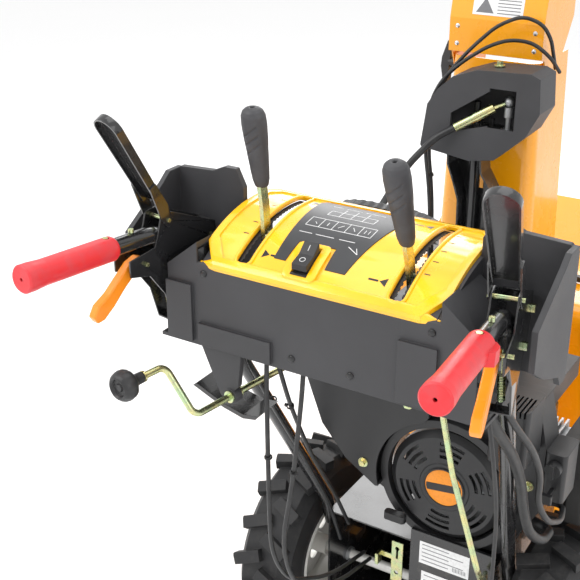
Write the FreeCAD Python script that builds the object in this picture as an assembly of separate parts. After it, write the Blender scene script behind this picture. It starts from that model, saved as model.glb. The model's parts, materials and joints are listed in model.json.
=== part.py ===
"""Two stage snowblower, modelled piece by piece in millimetres.

Frame: +X is the operator's right, +Y is forward (towards the auger), +Z is up.
The origin is on the ground, under the middle of the machine's length and width.
Each function returns the solid of one physical piece, and the list at the end
writes one file for each piece.
"""

import FreeCAD, Part
import math
import os

V = FreeCAD.Vector

# ---------------------------------------------------------------- sizes (mm)
# Wheels and axle
WHEEL_R = 203.0
WHEEL_W = 104.0
RIM_R = 103.0
LUG_H = 14.0
LUG_COUNT = 18
AXLE_R = 9.5
AXLE_Y = -112.5
AXLE_END = 292.0

# Running clearances
RUN = 0.05
GAP = 0.4
CLEAR = 2.0

# Sheet metal and plastic walls
SHEET = 3.0
PLASTIC = 3.0

# Chassis box
CHASSIS_HALF = 162.0
CHASSIS_REAR = -190.0
CHASSIS_LOW = 118.0
DECK_Z = 350.0
PANEL_TOP = 376.0
PANEL_LEFT = 6.0

# Auger housing
HOUSING_HALF = 350.0
HOUSING_TOP = 600.0
AUGER_R = 150.0
AUGER_GAP = 18.0
AUGER_Y = 530.0
AUGER_Z = 180.0
AUGER_SHAFT_R = 12.5
CREASE_Y = 657.0
LIP_Y = 767.5
LIP_Z = 690.0
CORNER_R = 40.0

# Impeller drum and impeller
DRUM_REAR = 128.0
IMPELLER_R = 150.0
IMPELLER_GAP = 5.0
IMPELLER_SHAFT_R = 10.0

# Discharge chute
CHUTE_X = -35.0
CHUTE_Y = 227.0
NECK_R = 92.0
FLANGE_R = 112.0
GEAR_MODULE = 4.0
RING_TEETH = 64
PINION_TEETH = 12
GEAR_Z = 606.0
GEAR_H = 12.0
CHUTE_BACK = 90.0
CHUTE_FRONT = 62.0
CHUTE_LOW_HALF = 95.0
CHUTE_TOP_HALF = 79.0
CHUTE_TOP = 1134.0
HINGE_Y = 190.0
HINGE_Z = 1108.0
DEFLECTOR_TOP = 1330.0

# Chute control head
HEAD_REAR = 25.0
HEAD_FRONT = 98.0
HEAD_LOW = 992.0
INPUT_X = 28.6
INPUT_Y = 57.0
HEAD_MODULE = 2.0
HEAD_TEETH = 14
IDLER_TEETH = 19

# Handles
TUBE_R = 12.5
TUBE_WALL = 2.0
GRIP_X = 280.0
GRIP_Z = 1000.0
GRIP_END = -765.7
GRIP_LENGTH = 155.0
GRIP_R = 17.5
BULB_R = 19.0
BEND_X = 256.0
BEND_Y = -515.0
BEND_Z = 988.0
FOOT_X = 178.0
FOOT_Y = -150.0
FOOT_Z = 300.0
HANDLE_YAW = 10.0

# Dash
DASH_REAR = -534.5
DASH_FRONT = -335.0
DASH_LOW = 835.0
DASH_HALF = 186.0
SHOULDER_X = 250.0
GUARD_X = 305.0
PANEL_HALF = 182.0
PANEL_THICK = 4.0
SLOT_X = 115.0
SLOT_HALF = 10.0
LEVER_PIVOT_Y = -455.0
LEVER_PIVOT_Z = 890.0

# Engine
CRANK_X = 61.0
CRANK_Z = 481.0
RECOIL_R = 103.0
RECOIL_FACE = -192.0

# Details of the pieces, in the order in which they are built
ARC_SHARE = 0.46
BEARING_R = 20.0
CUTTER_BORE = 8.5
CUTTER_HOLES = ((705.0, 420.0), (705.0, 500.0))
SKID_BOLTS = (470.0, 560.0)
SKID_BOLT_Z = 70.0
SCRAPER_Y = AUGER_Y - 36
SKID_THICK = 5.0
SKID_FOOT = 22.0
GEARBOX_HALF = 30.0
AUGER_TUBE_WALL = 5.5
SPOKE_ROOT = 1.5
FLIGHT_IN = 108.0
FLIGHT_PITCH = 260.0
FLIGHT_START = 52.0
FLIGHT_END = 318.0
IMPELLER_SHAFT_END = 44.0
BUSH_R = 14.0
WHEEL_X = 247.0
PULLEY_Y = 50.0
PULLEY_W = 14.0
ENGINE_PULLEY_R = 34.0
IMPELLER_PULLEY_R = 88.0
BELT_COVER_TOP = 582.0
BLOCK_REAR = -112.0
BLOCK_FRONT = 22.0
SHROUD_REAR = -186.0
WING_BOLTS = ((-8.0, 628.0), (-88.0, 487.0))
STARTER_OFF = 82.0
DRIVE_Y = CHUTE_Y - GEAR_MODULE * (RING_TEETH + PINION_TEETH) / 2
HEAD_GEAR_Z = 1028.0
JOINT_Z = 1086.0
JOINT_R = 9.0
IDLER_REACH = HEAD_MODULE * (HEAD_TEETH + IDLER_TEETH) / 2
HEAD_SPAN = math.hypot(INPUT_X - CHUTE_X, INPUT_Y - DRIVE_Y)
IDLER_SIDE = math.sqrt(max(0.0, IDLER_REACH ** 2 - (HEAD_SPAN / 2) ** 2))
IDLER_X = (INPUT_X + CHUTE_X) / 2 + IDLER_SIDE * (DRIVE_Y - INPUT_Y) / HEAD_SPAN
IDLER_Y = (INPUT_Y + DRIVE_Y) / 2 + IDLER_SIDE * (INPUT_X - CHUTE_X) / HEAD_SPAN * -1
HEAD_OUTLINE = ((-116.0, 996.0), (-106.0, 1072.0), (-88.0, 1100.0), (-62.0, 1124.0), (-20.0, 1139.0),
                (72.0, 1143.0), (88.0, 1136.0), (92.0, 1080.0), (72.0, 1040.0), (20.0, HEAD_LOW), (-24.0,
                        HEAD_LOW - 8))
CHUTE_CORNER = 26.0
CHUTE_SEAT = 640.0
DEFLECTOR_HALF = 85.0
BRACKET_HALF = 15.0
BRACKET_T = 2.5
BRACKET_BOLTS = ((-434.0, 962.0), (-470.0, 926.0))
LEVER_AXIS_Y = -520.5
LEVER_AXIS_Z = 1010.0
TRIGGER_Y = -563.0
TRIGGER_Z = 957.0
LEVER_LENGTH = 182.0
LEVER_HALF = 21.0
LEVER_LIFT = 59.6
GUARD_FRONT = -408.0
GUARD_WALL = 10.0
SWITCH_X = -25.0
PITCH_LOW, PITCH_TOP = (-473.0, 1068.0), (-494.0, 1180.0)
SPEED_LOW, SPEED_TOP = (-497.0, 1040.0), (-541.0, 1158.0)
BUSH = V(-133.0, -525.0, 765.0)
CRANK_HEADING = V(0.158, 0.987, 0.0).normalize()
CRANK_ROD_R = 5.0
SPEED_ROD_R = 4.5
SPEED_BEND_R = 26.0
ARM_TOP = V(-186.0, -612.0, 836.0)
SLEEVE_START = V(-50.0, 18.0, 1040.0)
SLEEVE_END = V(7.0, 43.3, 1076.4)


# ---------------------------------------------------------------- helpers
def box(x0, x1, y0, y1, z0, z1):
    """Block between two corners."""
    return Part.makeBox(x1 - x0, y1 - y0, z1 - z0, V(x0, y0, z0))


def rod(start, end, radius):
    """Cylinder between two points."""
    axis = V(*end) - V(*start)
    return Part.makeCylinder(radius, axis.Length, V(*start), axis)


def pipe(start, end, radius, bore):
    """Tube between two points."""
    return rod(start, end, radius).cut(rod(start, end, bore))


def ring(x, y, z0, z1, outer, bore):
    return pipe((x, y, z0), (x, y, z1), outer, bore)


def fuse(shapes):
    """One solid from several."""
    solid = shapes[0]
    for other in shapes[1:]:
        solid = solid.fuse(other)
    return solid.removeSplitter()


def cut(solid, tools):
    """The solid with each tool taken away."""
    for tool in tools:
        solid = solid.cut(tool)
    return solid


def polygon(points):
    return Part.Face(Part.makePolygon(points + [points[0]]))


def along_x(points, x0, x1):
    """Extrude an outline given as (y, z) from x0 to x1."""
    return polygon([V(x0, y, z) for y, z in points]).extrude(V(x1 - x0, 0, 0))


def along_y(points, y0, y1):
    """Extrude an outline given as (x, z) from y0 to y1."""
    return polygon([V(x, y0, z) for x, z in points]).extrude(V(0, y1 - y0, 0))


def along_z(points, z0, z1):
    """Extrude an outline given as (x, y) from z0 to z1."""
    return polygon([V(x, y, z0) for x, y in points]).extrude(V(0, 0, z1 - z0))


def rounded(x0, x1, y0, y1, radius, z0, z1):
    """Block with rounded upright corners."""
    solid = box(x0, x1, y0, y1, z0, z1)
    upright = [e for e in solid.Edges if abs(e.tangentAt(e.FirstParameter).z) > 0.9]
    return solid.makeFillet(radius, upright)


def hull_plate(circles, thickness, normal, origin, side):
    """Plate made of discs joined by their common tangents: circles are (along, up, radius)."""
    along = side
    up = normal.cross(side)
    shapes = []
    for a, b in zip(circles, circles[1:]):
        start = origin + along * a[0] + up * a[1]
        end = origin + along * b[0] + up * b[1]
        line = end - start
        turn = math.acos((a[2] - b[2]) / line.Length)
        heading = line.normalize()
        across = normal.cross(heading)
        corners = []
        for centre, radius, sign in ((start, a[2], 1), (start, a[2], -1), (end, b[2], -1), (end, b[2], 1)):
            offset = heading * (radius * math.cos(turn)) + across * (sign * radius * math.sin(turn))
            corners.append(centre + offset)
        shapes.append(polygon(corners).extrude(normal * thickness))
    for along_at, up_at, radius in circles:
        centre = origin + along * along_at + up * up_at
        shapes.append(Part.makeCylinder(radius, thickness, centre, normal))
    return fuse(shapes)


def bent_path(points, radius=None):
    """Polyline with each corner rounded to the radius, or else by the largest arc that fits."""
    pts = [V(*p) for p in points]
    edges = []
    last = pts[0]
    for before, corner, after in zip(pts, pts[1:], pts[2:]):
        back = before - corner
        ahead = after - corner
        room = ARC_SHARE * min(back.Length, ahead.Length)
        back.normalize()
        ahead.normalize()
        half = math.acos(max(-1.0, min(1.0, back.dot(ahead)))) / 2
        bend = radius or room * math.tan(half)
        reach = bend / math.tan(half)
        start = corner + back * reach
        end = corner + ahead * reach
        middle = corner + (back + ahead).normalize() * (bend / math.sin(half) - bend)
        edges.append(Part.makeLine(last, start))
        edges.append(Part.Arc(start, middle, end).toShape())
        last = end
    edges.append(Part.makeLine(last, pts[-1]))
    return Part.Wire(edges)


def swept(path, radius):
    edge = path.Edges[0]
    start = edge.valueAt(edge.FirstParameter)
    heading = edge.tangentAt(edge.FirstParameter)
    circle = Part.Wire(Part.makeCircle(radius, start, heading))
    return path.makePipeShell([circle], True, False)


def bent_rod(points, corner, radius):
    return swept(bent_path(points, corner), radius)


def cable(points, radius):
    """Round cable through straight stretches and wide arcs."""
    return swept(bent_path(points), radius)


def mirrored(solid):
    return solid.mirror(V(0, 0, 0), V(1, 0, 0))


def sided(side, solid):
    """The solid as built for the right, or its mirror image for the left."""
    return solid if side > 0 else mirrored(solid)


def hex_head(centre, direction, across, height):
    """Hexagon bolt head standing on the centre point."""
    axis = V(*direction).normalize()
    side = axis.cross(V(0, 0, 1))
    if side.Length < 0.1:
        side = V(1, 0, 0)
    side.normalize()
    other = axis.cross(side)
    reach = across / math.sqrt(3)
    corners = []
    for k in range(6):
        a = math.radians(60 * k)
        corners.append(V(*centre) + side * (reach * math.cos(a)) + other * (reach * math.sin(a)))
    return polygon(corners).extrude(axis * height)


def spur_gear(module, teeth, x, y, z0, height, bore, gap_towards):
    """Spur gear with straight-flanked teeth; a tooth gap faces the given angle in degrees."""
    pitch = module * teeth / 2
    tip = pitch + 0.8 * module
    root = pitch - 1.1 * module
    step = 2 * math.pi / teeth
    start = math.radians(gap_towards) + step / 2
    points = []
    for k in range(teeth):
        middle = start + k * step
        for radius, half in ((root, 0.30), (tip, 0.12), (tip, -0.12), (root, -0.30)):
            angle = middle - half * step
            points.append((x + radius * math.cos(angle), y + radius * math.sin(angle)))
    solid = along_z(points, z0, z0 + height)
    return solid.cut(rod((x, y, z0 - 1), (x, y, z0 + height + 1), bore))


# ---------------------------------------------------------------- auger housing
def housing_outline(offset, rear_drop):
    """Side outline of the sheet: arc round the auger, straight back, flat top and visor."""
    radius = AUGER_R + AUGER_GAP + offset
    rear = AUGER_Y - radius
    top = HOUSING_TOP - SHEET + offset
    corner = CORNER_R - SHEET + offset
    low = math.radians(-100)
    half_way = math.radians(-140)
    start = V(0, AUGER_Y + radius * math.cos(low), AUGER_Z + radius * math.sin(low))
    middle = V(0, AUGER_Y + radius * math.cos(half_way), AUGER_Z + radius * math.sin(half_way))
    waist = V(0, rear, AUGER_Z)
    shoulder = V(0, rear, top - corner)
    bend = V(0, rear + corner * (1 - math.sqrt(0.5)), top - corner * (1 - math.sqrt(0.5)))
    flat = V(0, rear + corner, top)
    crease = V(0, CREASE_Y, top)
    lip = V(0, LIP_Y, LIP_Z - SHEET + offset)
    edges = [
        Part.Arc(start, middle, waist).toShape(),
        Part.makeLine(waist, shoulder),
        Part.Arc(shoulder, bend, flat).toShape(),
        Part.makeLine(flat, crease),
        Part.makeLine(crease, lip),
    ]
    if rear_drop:
        front = [V(0, LIP_Y + 60, LIP_Z + 30), V(0, LIP_Y + 60, -50), V(0, start.y, -50)]
    else:
        front = [V(0, AUGER_Y + AUGER_R + 30, 300), V(0, AUGER_Y + AUGER_R + 22, 120),
                V(0, AUGER_Y + 110, start.z)]
    last = lip
    for point in front:
        edges.append(Part.makeLine(last, point))
        last = point
    edges.append(Part.makeLine(last, start))
    return Part.Face(Part.Wire(edges))


def prism_x(face, half):
    face.translate(V(-half, 0, 0))
    return face.extrude(V(2 * half, 0, 0))


def housing_shell():
    drum_in = IMPELLER_R + IMPELLER_GAP
    outer = prism_x(housing_outline(SHEET, False), HOUSING_HALF)
    intake = prism_x(housing_outline(0.0, True), HOUSING_HALF - SHEET)
    drum_hole = rod((0, DRUM_REAR + SHEET, AUGER_Z), (0, AUGER_Y, AUGER_Z), drum_in)
    drum = rod((0, DRUM_REAR, AUGER_Z), (0, AUGER_Y, AUGER_Z), drum_in + SHEET)
    neck = rod((CHUTE_X, CHUTE_Y, AUGER_Z), (CHUTE_X, CHUTE_Y, HOUSING_TOP), NECK_R + SHEET)
    flange = rod((CHUTE_X, CHUTE_Y, HOUSING_TOP - 4), (CHUTE_X, CHUTE_Y, HOUSING_TOP), FLANGE_R)
    throat = rod((CHUTE_X, CHUTE_Y, AUGER_Z + 20), (CHUTE_X, CHUTE_Y, HOUSING_TOP + 1), NECK_R)
    shell = fuse([outer, drum.cut(intake), neck, flange])
    holes = [intake, drum_hole, throat, rod((0, 100, AUGER_Z), (0, DRUM_REAR + 10, AUGER_Z), BEARING_R)]
    for side in (-1, 1):
        wall = side * HOUSING_HALF
        holes.append(rod((wall - 10, AUGER_Y, AUGER_Z), (wall + 10, AUGER_Y, AUGER_Z), BEARING_R))
        for y, z in CUTTER_HOLES:
            holes.append(rod((wall - 10, y, z), (wall + 10, y, z), CUTTER_BORE / 2))
        for y in SKID_BOLTS:
            holes.append(rod((wall - 10, y, SKID_BOLT_Z), (wall + 10, y, SKID_BOLT_Z), 4.2))
    return cut(shell, holes)


def scraper_blade():
    start = AUGER_Z - (AUGER_R + AUGER_GAP + SHEET) * math.sin(math.radians(80))
    blade = along_x([(SCRAPER_Y, 3), (SCRAPER_Y + 30, 3), (SCRAPER_Y + 24, start - 0.1),
            (SCRAPER_Y + 6, start - 0.1)],
                    -HOUSING_HALF + 12, HOUSING_HALF - 12)
    return blade


def skid_shoe(side):
    x0 = HOUSING_HALF
    plate = along_x([(430, 0), (600, 0), (625, 20), (625, 95), (430, 95), (405, 20)], x0, x0 + SKID_THICK)
    foot = along_x([(430, 0), (600, 0), (625, 20), (618, 24), (598, 5), (432, 5), (412, 24), (405, 20)],
                   x0 + SKID_THICK, x0 + SKID_THICK + SKID_FOOT)
    shoe = fuse([plate, foot])
    slots = [box(x0 - 1, x0 + SKID_THICK + 1, y - 4.2, y + 4.2, SKID_BOLT_Z - 14,
            SKID_BOLT_Z + 14) for y in SKID_BOLTS]
    return sided(side, cut(shoe, slots))


def housing_fasteners():
    heads = []
    for side in (-1, 1):
        for y in SKID_BOLTS:
            x = side * (HOUSING_HALF + SKID_THICK)
            heads.append(hex_head((x, y, SKID_BOLT_Z), (side, 0, 0), 13, 6))
            heads[-1] = heads[-1].fuse(rod((side * (HOUSING_HALF - SHEET - 5), y, SKID_BOLT_Z),
                    (x, y, SKID_BOLT_Z), 4.0))
        x = side * HOUSING_HALF
        for angle in (45, 135, 225, 315):
            a = math.radians(angle)
            y, z = AUGER_Y + 34 * math.cos(a), AUGER_Z + 34 * math.sin(a)
            heads.append(hex_head((x + side * 8, y, z), (side, 0, 0), 10, 5))
    return Part.makeCompound(heads)


def auger_bearings():
    blocks = []
    for side in (-1, 1):
        wall = side * HOUSING_HALF
        inner = wall - side * SHEET
        flange = rod((wall, AUGER_Y, AUGER_Z), (wall + side * 8, AUGER_Y, AUGER_Z), 44)
        boss = rod((inner - side * 8, AUGER_Y, AUGER_Z), (wall, AUGER_Y, AUGER_Z), BEARING_R - 0.05)
        bore = rod((inner - side * 20, AUGER_Y, AUGER_Z), (wall + side * 5, AUGER_Y, AUGER_Z),
                AUGER_SHAFT_R + RUN)
        blocks.append(flange.fuse(boss).cut(bore))
    return Part.makeCompound(blocks)


# ---------------------------------------------------------------- auger and impeller
def auger_gearbox():
    body = rod((-GEARBOX_HALF, AUGER_Y, AUGER_Z), (GEARBOX_HALF, AUGER_Y, AUGER_Z), 50)
    nose = rod((0, AUGER_Y - 105, AUGER_Z), (0, AUGER_Y, AUGER_Z), 27)
    fins = [rod((x - 3, AUGER_Y, AUGER_Z), (x + 3, AUGER_Y, AUGER_Z), 54) for x in (-18, 18)]
    shell = fuse([body, nose] + fins)
    shell = shell.cut(rod((-GEARBOX_HALF + 6, AUGER_Y, AUGER_Z), (GEARBOX_HALF - 6, AUGER_Y, AUGER_Z), 43))
    shell = shell.cut(rod((-60, AUGER_Y, AUGER_Z), (60, AUGER_Y, AUGER_Z), AUGER_SHAFT_R + RUN))
    return shell.cut(rod((0, AUGER_Y - 110, AUGER_Z), (0, AUGER_Y - 45, AUGER_Z), IMPELLER_SHAFT_R + RUN))


def ribbon(hand):
    """One spiral ribbon of the auger on the +X side."""
    helix = Part.makeLongHelix(FLIGHT_PITCH, FLIGHT_END - FLIGHT_START, (FLIGHT_IN + AUGER_R) / 2, 0,
            hand < 0)
    half = (AUGER_R - FLIGHT_IN) / 2
    middle = (FLIGHT_IN + AUGER_R) / 2
    profile = Part.makePolygon([V(middle - half, 0, -2.5), V(middle + half, 0, -2.5),
            V(middle + half, 0, 2.5),
                                V(middle - half, 0, 2.5), V(middle - half, 0, -2.5)])
    flight = Part.Wire(helix).makePipeShell([profile], True, True)
    flight.rotate(V(0, 0, 0), V(0, 1, 0), 90)
    flight.translate(V(FLIGHT_START, AUGER_Y, AUGER_Z))
    return flight


def auger_half(side):
    """Tube, two ribbons and their spokes, turning on the cross shaft."""
    tube = pipe((FLIGHT_START - 14, AUGER_Y, AUGER_Z), (FLIGHT_END + 8, AUGER_Y, AUGER_Z), 18,
            AUGER_SHAFT_R)
    pieces = [tube]
    for start in (0, 180):
        flight = ribbon(1)
        flight.rotate(V(0, AUGER_Y, AUGER_Z), V(1, 0, 0), start)
        pieces.append(flight)
        for along in (0.08, 0.92):
            angle = math.radians(start - 90 + 360 * along * (FLIGHT_END - FLIGHT_START) / FLIGHT_PITCH)
            x = FLIGHT_START + along * (FLIGHT_END - FLIGHT_START)
            root = AUGER_Y + AUGER_SHAFT_R + SPOKE_ROOT
            spoke = box(x - 3, x + 3, root, AUGER_Y + FLIGHT_IN + 12, AUGER_Z - 11, AUGER_Z + 11)
            spoke.rotate(V(0, AUGER_Y, AUGER_Z), V(1, 0, 0), math.degrees(angle))
            pieces.append(spoke)
    return sided(side, fuse(pieces))


def auger_shaft():
    end = HOUSING_HALF + 4
    return rod((-end, AUGER_Y, AUGER_Z), (end, AUGER_Y, AUGER_Z), AUGER_SHAFT_R)


def impeller():
    shaft = rod((0, IMPELLER_SHAFT_END, AUGER_Z), (0, AUGER_Y - 52, AUGER_Z), IMPELLER_SHAFT_R)
    hub = rod((0, 185, AUGER_Z), (0, 300, AUGER_Z), 24)
    back = rod((0, 182, AUGER_Z), (0, 185, AUGER_Z), 90)
    blades = []
    for k in range(4):
        blade = box(-3, 3, 185, 305, AUGER_Z + 15, AUGER_Z + IMPELLER_R)
        blade = blade.fuse(box(-3, 24, 185, 305, AUGER_Z + IMPELLER_R - 12, AUGER_Z + IMPELLER_R - 7))
        blade.rotate(V(0, 0, AUGER_Z), V(0, 1, 0), 90 * k)
        blades.append(blade)
    return fuse([shaft, hub, back] + blades)


def impeller_bearing():
    y = DRUM_REAR
    flange = rod((0, y - 8, AUGER_Z), (0, y, AUGER_Z), 40)
    boss = rod((0, y, AUGER_Z), (0, y + 10, AUGER_Z), BEARING_R - 0.05)
    return fuse([flange, boss]).cut(rod((0, y - 20, AUGER_Z), (0, y + 20, AUGER_Z), IMPELLER_SHAFT_R + RUN))


# ---------------------------------------------------------------- chassis and drive
def chassis():
    inner = CHASSIS_HALF - SHEET
    front = DRUM_REAR
    rear = CHASSIS_REAR
    parts = [
        box(-CHASSIS_HALF, -inner, rear, front, CHASSIS_LOW, DECK_Z),
        box(inner, CHASSIS_HALF, rear, front, CHASSIS_LOW, DECK_Z),
        box(-CHASSIS_HALF, CHASSIS_HALF, rear, front, DECK_Z - SHEET, DECK_Z),
        box(-CHASSIS_HALF, CHASSIS_HALF, front - SHEET, front, CHASSIS_LOW, DECK_Z),
        box(-CHASSIS_HALF, CHASSIS_HALF, rear, front, CHASSIS_LOW, CHASSIS_LOW + SHEET),
    ]
    shell = fuse(parts)
    holes = [rod((-200, AXLE_Y, WHEEL_R), (200, AXLE_Y, WHEEL_R), BUSH_R)]
    holes.append(rod((0, front - 20, AUGER_Z), (0, front + 10, AUGER_Z), 41))
    belt_y = (PULLEY_Y - 8, PULLEY_Y + PULLEY_W + 8)
    holes.append(box(-60, 112, *belt_y, DECK_Z - 10, DECK_Z + 10))
    pulley_half = IMPELLER_PULLEY_R + 6
    holes.append(box(-pulley_half, pulley_half, *belt_y, CHASSIS_LOW - 10, CHASSIS_LOW + 10))
    return cut(shell, holes)


def axle_bushes():
    blocks = []
    for side in (-1, 1):
        inner = side * (CHASSIS_HALF - SHEET)
        outer = side * CHASSIS_HALF
        bush = rod((inner - side * 6, AXLE_Y, WHEEL_R), (outer, AXLE_Y, WHEEL_R), BUSH_R)
        bush = bush.fuse(rod((outer, AXLE_Y, WHEEL_R), (outer + side * 4, AXLE_Y, WHEEL_R), 21))
        blocks.append(bush.cut(rod((inner - side * 30, AXLE_Y, WHEEL_R),
                (outer + side * 30, AXLE_Y, WHEEL_R), AXLE_R + RUN)))
    return Part.makeCompound(blocks)


def rear_panel():
    y = CHASSIS_REAR
    panel = box(PANEL_LEFT, CHASSIS_HALF, y - SHEET, y, CHASSIS_LOW, PANEL_TOP)
    lip = box(PANEL_LEFT, CHASSIS_HALF, y, y + 4, PANEL_TOP - SHEET, PANEL_TOP)
    side = box(PANEL_LEFT, PANEL_LEFT + SHEET, y, y + 4, DECK_Z, PANEL_TOP)
    return fuse([panel, lip, side])


def index_bracket():
    """Zinc plate with keyholes and a hooked tab, beside the rear panel."""
    y = CHASSIS_REAR
    plate = box(PANEL_LEFT - 36, PANEL_LEFT - 14, y - SHEET, y, 250, 336)
    hook = fuse([box(PANEL_LEFT - 62, PANEL_LEFT - 36, y - SHEET, y, 296, 306),
                 box(PANEL_LEFT - 62, PANEL_LEFT - 56, y - SHEET - 14, y, 284, 306)])
    holes = [rod((PANEL_LEFT - 25, y - 10, z), (PANEL_LEFT - 25, y + 10, z), 4) for z in (270, 322)]
    holes.append(box(PANEL_LEFT - 27, PANEL_LEFT - 23, y - 10, y + 10, 300, 322))
    return cut(fuse([plate, hook]), holes)


def half_axle(side):
    solid = rod((12, AXLE_Y, WHEEL_R), (AXLE_END, AXLE_Y, WHEEL_R), AXLE_R)
    return sided(side, solid)


def wheel_rim(side):
    half = WHEEL_W / 2
    barrel = pipe((WHEEL_X - half, AXLE_Y, WHEEL_R), (WHEEL_X + half, AXLE_Y, WHEEL_R), RIM_R,
            RIM_R - SHEET)
    disc = rod((WHEEL_X + 8, AXLE_Y, WHEEL_R), (WHEEL_X + 12, AXLE_Y, WHEEL_R), RIM_R - SHEET)
    hub = rod((WHEEL_X - half + 8, AXLE_Y, WHEEL_R), (WHEEL_X + 36, AXLE_Y, WHEEL_R), 19)
    rim = fuse([barrel, disc, hub])
    holes = [rod((0, AXLE_Y, WHEEL_R), (400, AXLE_Y, WHEEL_R), AXLE_R)]
    for k in range(6):
        a = math.radians(60 * k)
        y, z = AXLE_Y + 62 * math.cos(a), WHEEL_R + 62 * math.sin(a)
        holes.append(rod((WHEEL_X, y, z), (WHEEL_X + 30, y, z), 16))
    return sided(side, cut(rim, holes))


def tyre(side):
    half = WHEEL_W / 2
    crown = WHEEL_R - LUG_H
    profile = [(-half + 4, RIM_R), (-half, RIM_R + 18), (-half, crown - 22), (-half + 16, crown),
               (half - 16, crown), (half, crown - 22), (half, RIM_R + 18), (half - 4, RIM_R)]
    face = polygon([V(WHEEL_X + x, AXLE_Y, WHEEL_R + r) for x, r in profile])
    carcass = face.revolve(V(0, AXLE_Y, WHEEL_R), V(1, 0, 0), 360)
    lugs = []
    for k in range(LUG_COUNT):
        for lean, x0, x1, shift in ((24, -half + 0.5, 3, 0), (-24, -3, half - 0.5, 0.5)):
            lug = box(x0, x1, -11, 11, crown - 5, WHEEL_R + 2)
            middle = V((x0 + x1) / 2, 0, 0)
            lug.rotate(middle, V(0, 0, 1), lean)
            lug.translate(V(WHEEL_X, AXLE_Y, WHEEL_R))
            lug.rotate(V(0, AXLE_Y, WHEEL_R), V(1, 0, 0), 360 * (k + shift) / LUG_COUNT)
            lugs.append(lug)
    bound = pipe((WHEEL_X - half, AXLE_Y, WHEEL_R), (WHEEL_X + half, AXLE_Y, WHEEL_R), WHEEL_R, RIM_R)
    solid = carcass.multiFuse(lugs).common(bound)
    return sided(side, solid.removeSplitter())


# ---------------------------------------------------------------- belt drive


def grooved_pulley(x, z, radius, y, bore):
    groove = 5.0
    face = polygon([V(x, y, z + bore), V(x, y, z + radius), V(x, y + 2, z + radius),
                    V(x, y + PULLEY_W / 2, z + radius - groove), V(x, y + PULLEY_W - 2, z + radius),
                    V(x, y + PULLEY_W, z + radius), V(x, y + PULLEY_W, z + bore)])
    return face.revolve(V(x, y, z), V(0, 1, 0), 360)


def engine_pulley():
    pulley = grooved_pulley(CRANK_X, CRANK_Z, ENGINE_PULLEY_R, PULLEY_Y, AXLE_R)
    return pulley.fuse(rod((CRANK_X, 22, CRANK_Z), (CRANK_X, PULLEY_Y + PULLEY_W + 4, CRANK_Z), AXLE_R))


def impeller_pulley():
    return grooved_pulley(0, AUGER_Z, IMPELLER_PULLEY_R, PULLEY_Y, IMPELLER_SHAFT_R)


def drive_belt():
    """Belt as a thin band round the two pulley grooves."""
    normal = V(0, 1, 0)
    y = PULLEY_Y + PULLEY_W / 2 - 2.5
    origin = V(0, y, 0)
    out = 3.0
    big = IMPELLER_PULLEY_R + 0.6
    small = ENGINE_PULLEY_R + 0.6
    places = lambda extra: [(0, -AUGER_Z, big + extra), (CRANK_X, -CRANK_Z, small + extra)]
    loop = hull_plate(places(out), 5.0, normal, origin, V(1, 0, 0))
    return loop.cut(hull_plate(places(0.0), 5.0, normal, origin, V(1, 0, 0)))


def belt_cover():
    outline = [(-95, DECK_Z), (150, DECK_Z), (150, BELT_COVER_TOP - 60), (110, BELT_COVER_TOP),
               (-60, BELT_COVER_TOP), (-95, BELT_COVER_TOP - 90)]
    w = PLASTIC
    inner = [(-95 + w, DECK_Z - 1), (150 - w, DECK_Z - 1), (150 - w, BELT_COVER_TOP - 60 - w),
             (110 - w, BELT_COVER_TOP - w), (-60 + w, BELT_COVER_TOP - w), (-95 + w,
                     BELT_COVER_TOP - 90 - w)]
    shell = along_y(outline, 36, 118).cut(along_y(inner, 36 + w, 118 - w))
    return shell.cut(rod((CRANK_X, 30, CRANK_Z), (CRANK_X, 45, CRANK_Z), 40))


# ---------------------------------------------------------------- engine


def engine_block():
    case = box(CRANK_X - 85, CRANK_X + 80, BLOCK_REAR, BLOCK_FRONT, DECK_Z, CRANK_Z + 85)
    cylinder = box(CRANK_X + 80, CRANK_X + 150, BLOCK_REAR + 24, BLOCK_FRONT - 10, CRANK_Z - 40,
            CRANK_Z + 60)
    fins = [box(CRANK_X + 86 + 10 * k, CRANK_X + 90 + 10 * k, BLOCK_REAR + 14, BLOCK_FRONT - 2,
                CRANK_Z - 50, CRANK_Z + 70) for k in range(6)]
    block = fuse([case, cylinder] + fins)
    return block.cut(rod((CRANK_X, 0, CRANK_Z), (CRANK_X, 60, CRANK_Z), AXLE_R + 3))


def shroud_outline():
    """Left wing of the shroud, as (x, z)."""
    return [(CRANK_X, CRANK_Z - 110), (-90, 440), (-128, 484), (-172, 530), (-215, 640), (-215, 676),
            (205, 676), (222, 600), (222, 481), (CRANK_X + 100, CRANK_Z - 110)]


def engine_shroud():
    """Black cover over the fan and the engine top, open towards the block."""
    face = SHROUD_REAR + 14
    outer = along_y(shroud_outline(), face, BLOCK_REAR)
    points = [(CRANK_X, CRANK_Z - 107), (-88, 443), (-125, 487), (-169, 532), (-212, 640), (-212, 673),
              (202, 673), (219, 599), (219, 483), (CRANK_X + 98, CRANK_Z - 107)]
    inner = along_y(points, face + PLASTIC, BLOCK_REAR + 1)
    hood = box(-212, 205, BLOCK_REAR - 4, BLOCK_FRONT, 640, 675.5)
    room = box(-209, 202, BLOCK_REAR - 5, BLOCK_FRONT - 3, 630, 672.5)
    bowl = rod((CRANK_X, SHROUD_REAR, CRANK_Z), (CRANK_X, face + 1, CRANK_Z), RECOIL_R + 20)
    mouth = rod((CRANK_X, SHROUD_REAR - 1, CRANK_Z), (CRANK_X, BLOCK_REAR - 20, CRANK_Z), RECOIL_R + 6)
    return cut(fuse([outer.cut(inner), hood.cut(room), bowl]), [mouth])


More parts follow.
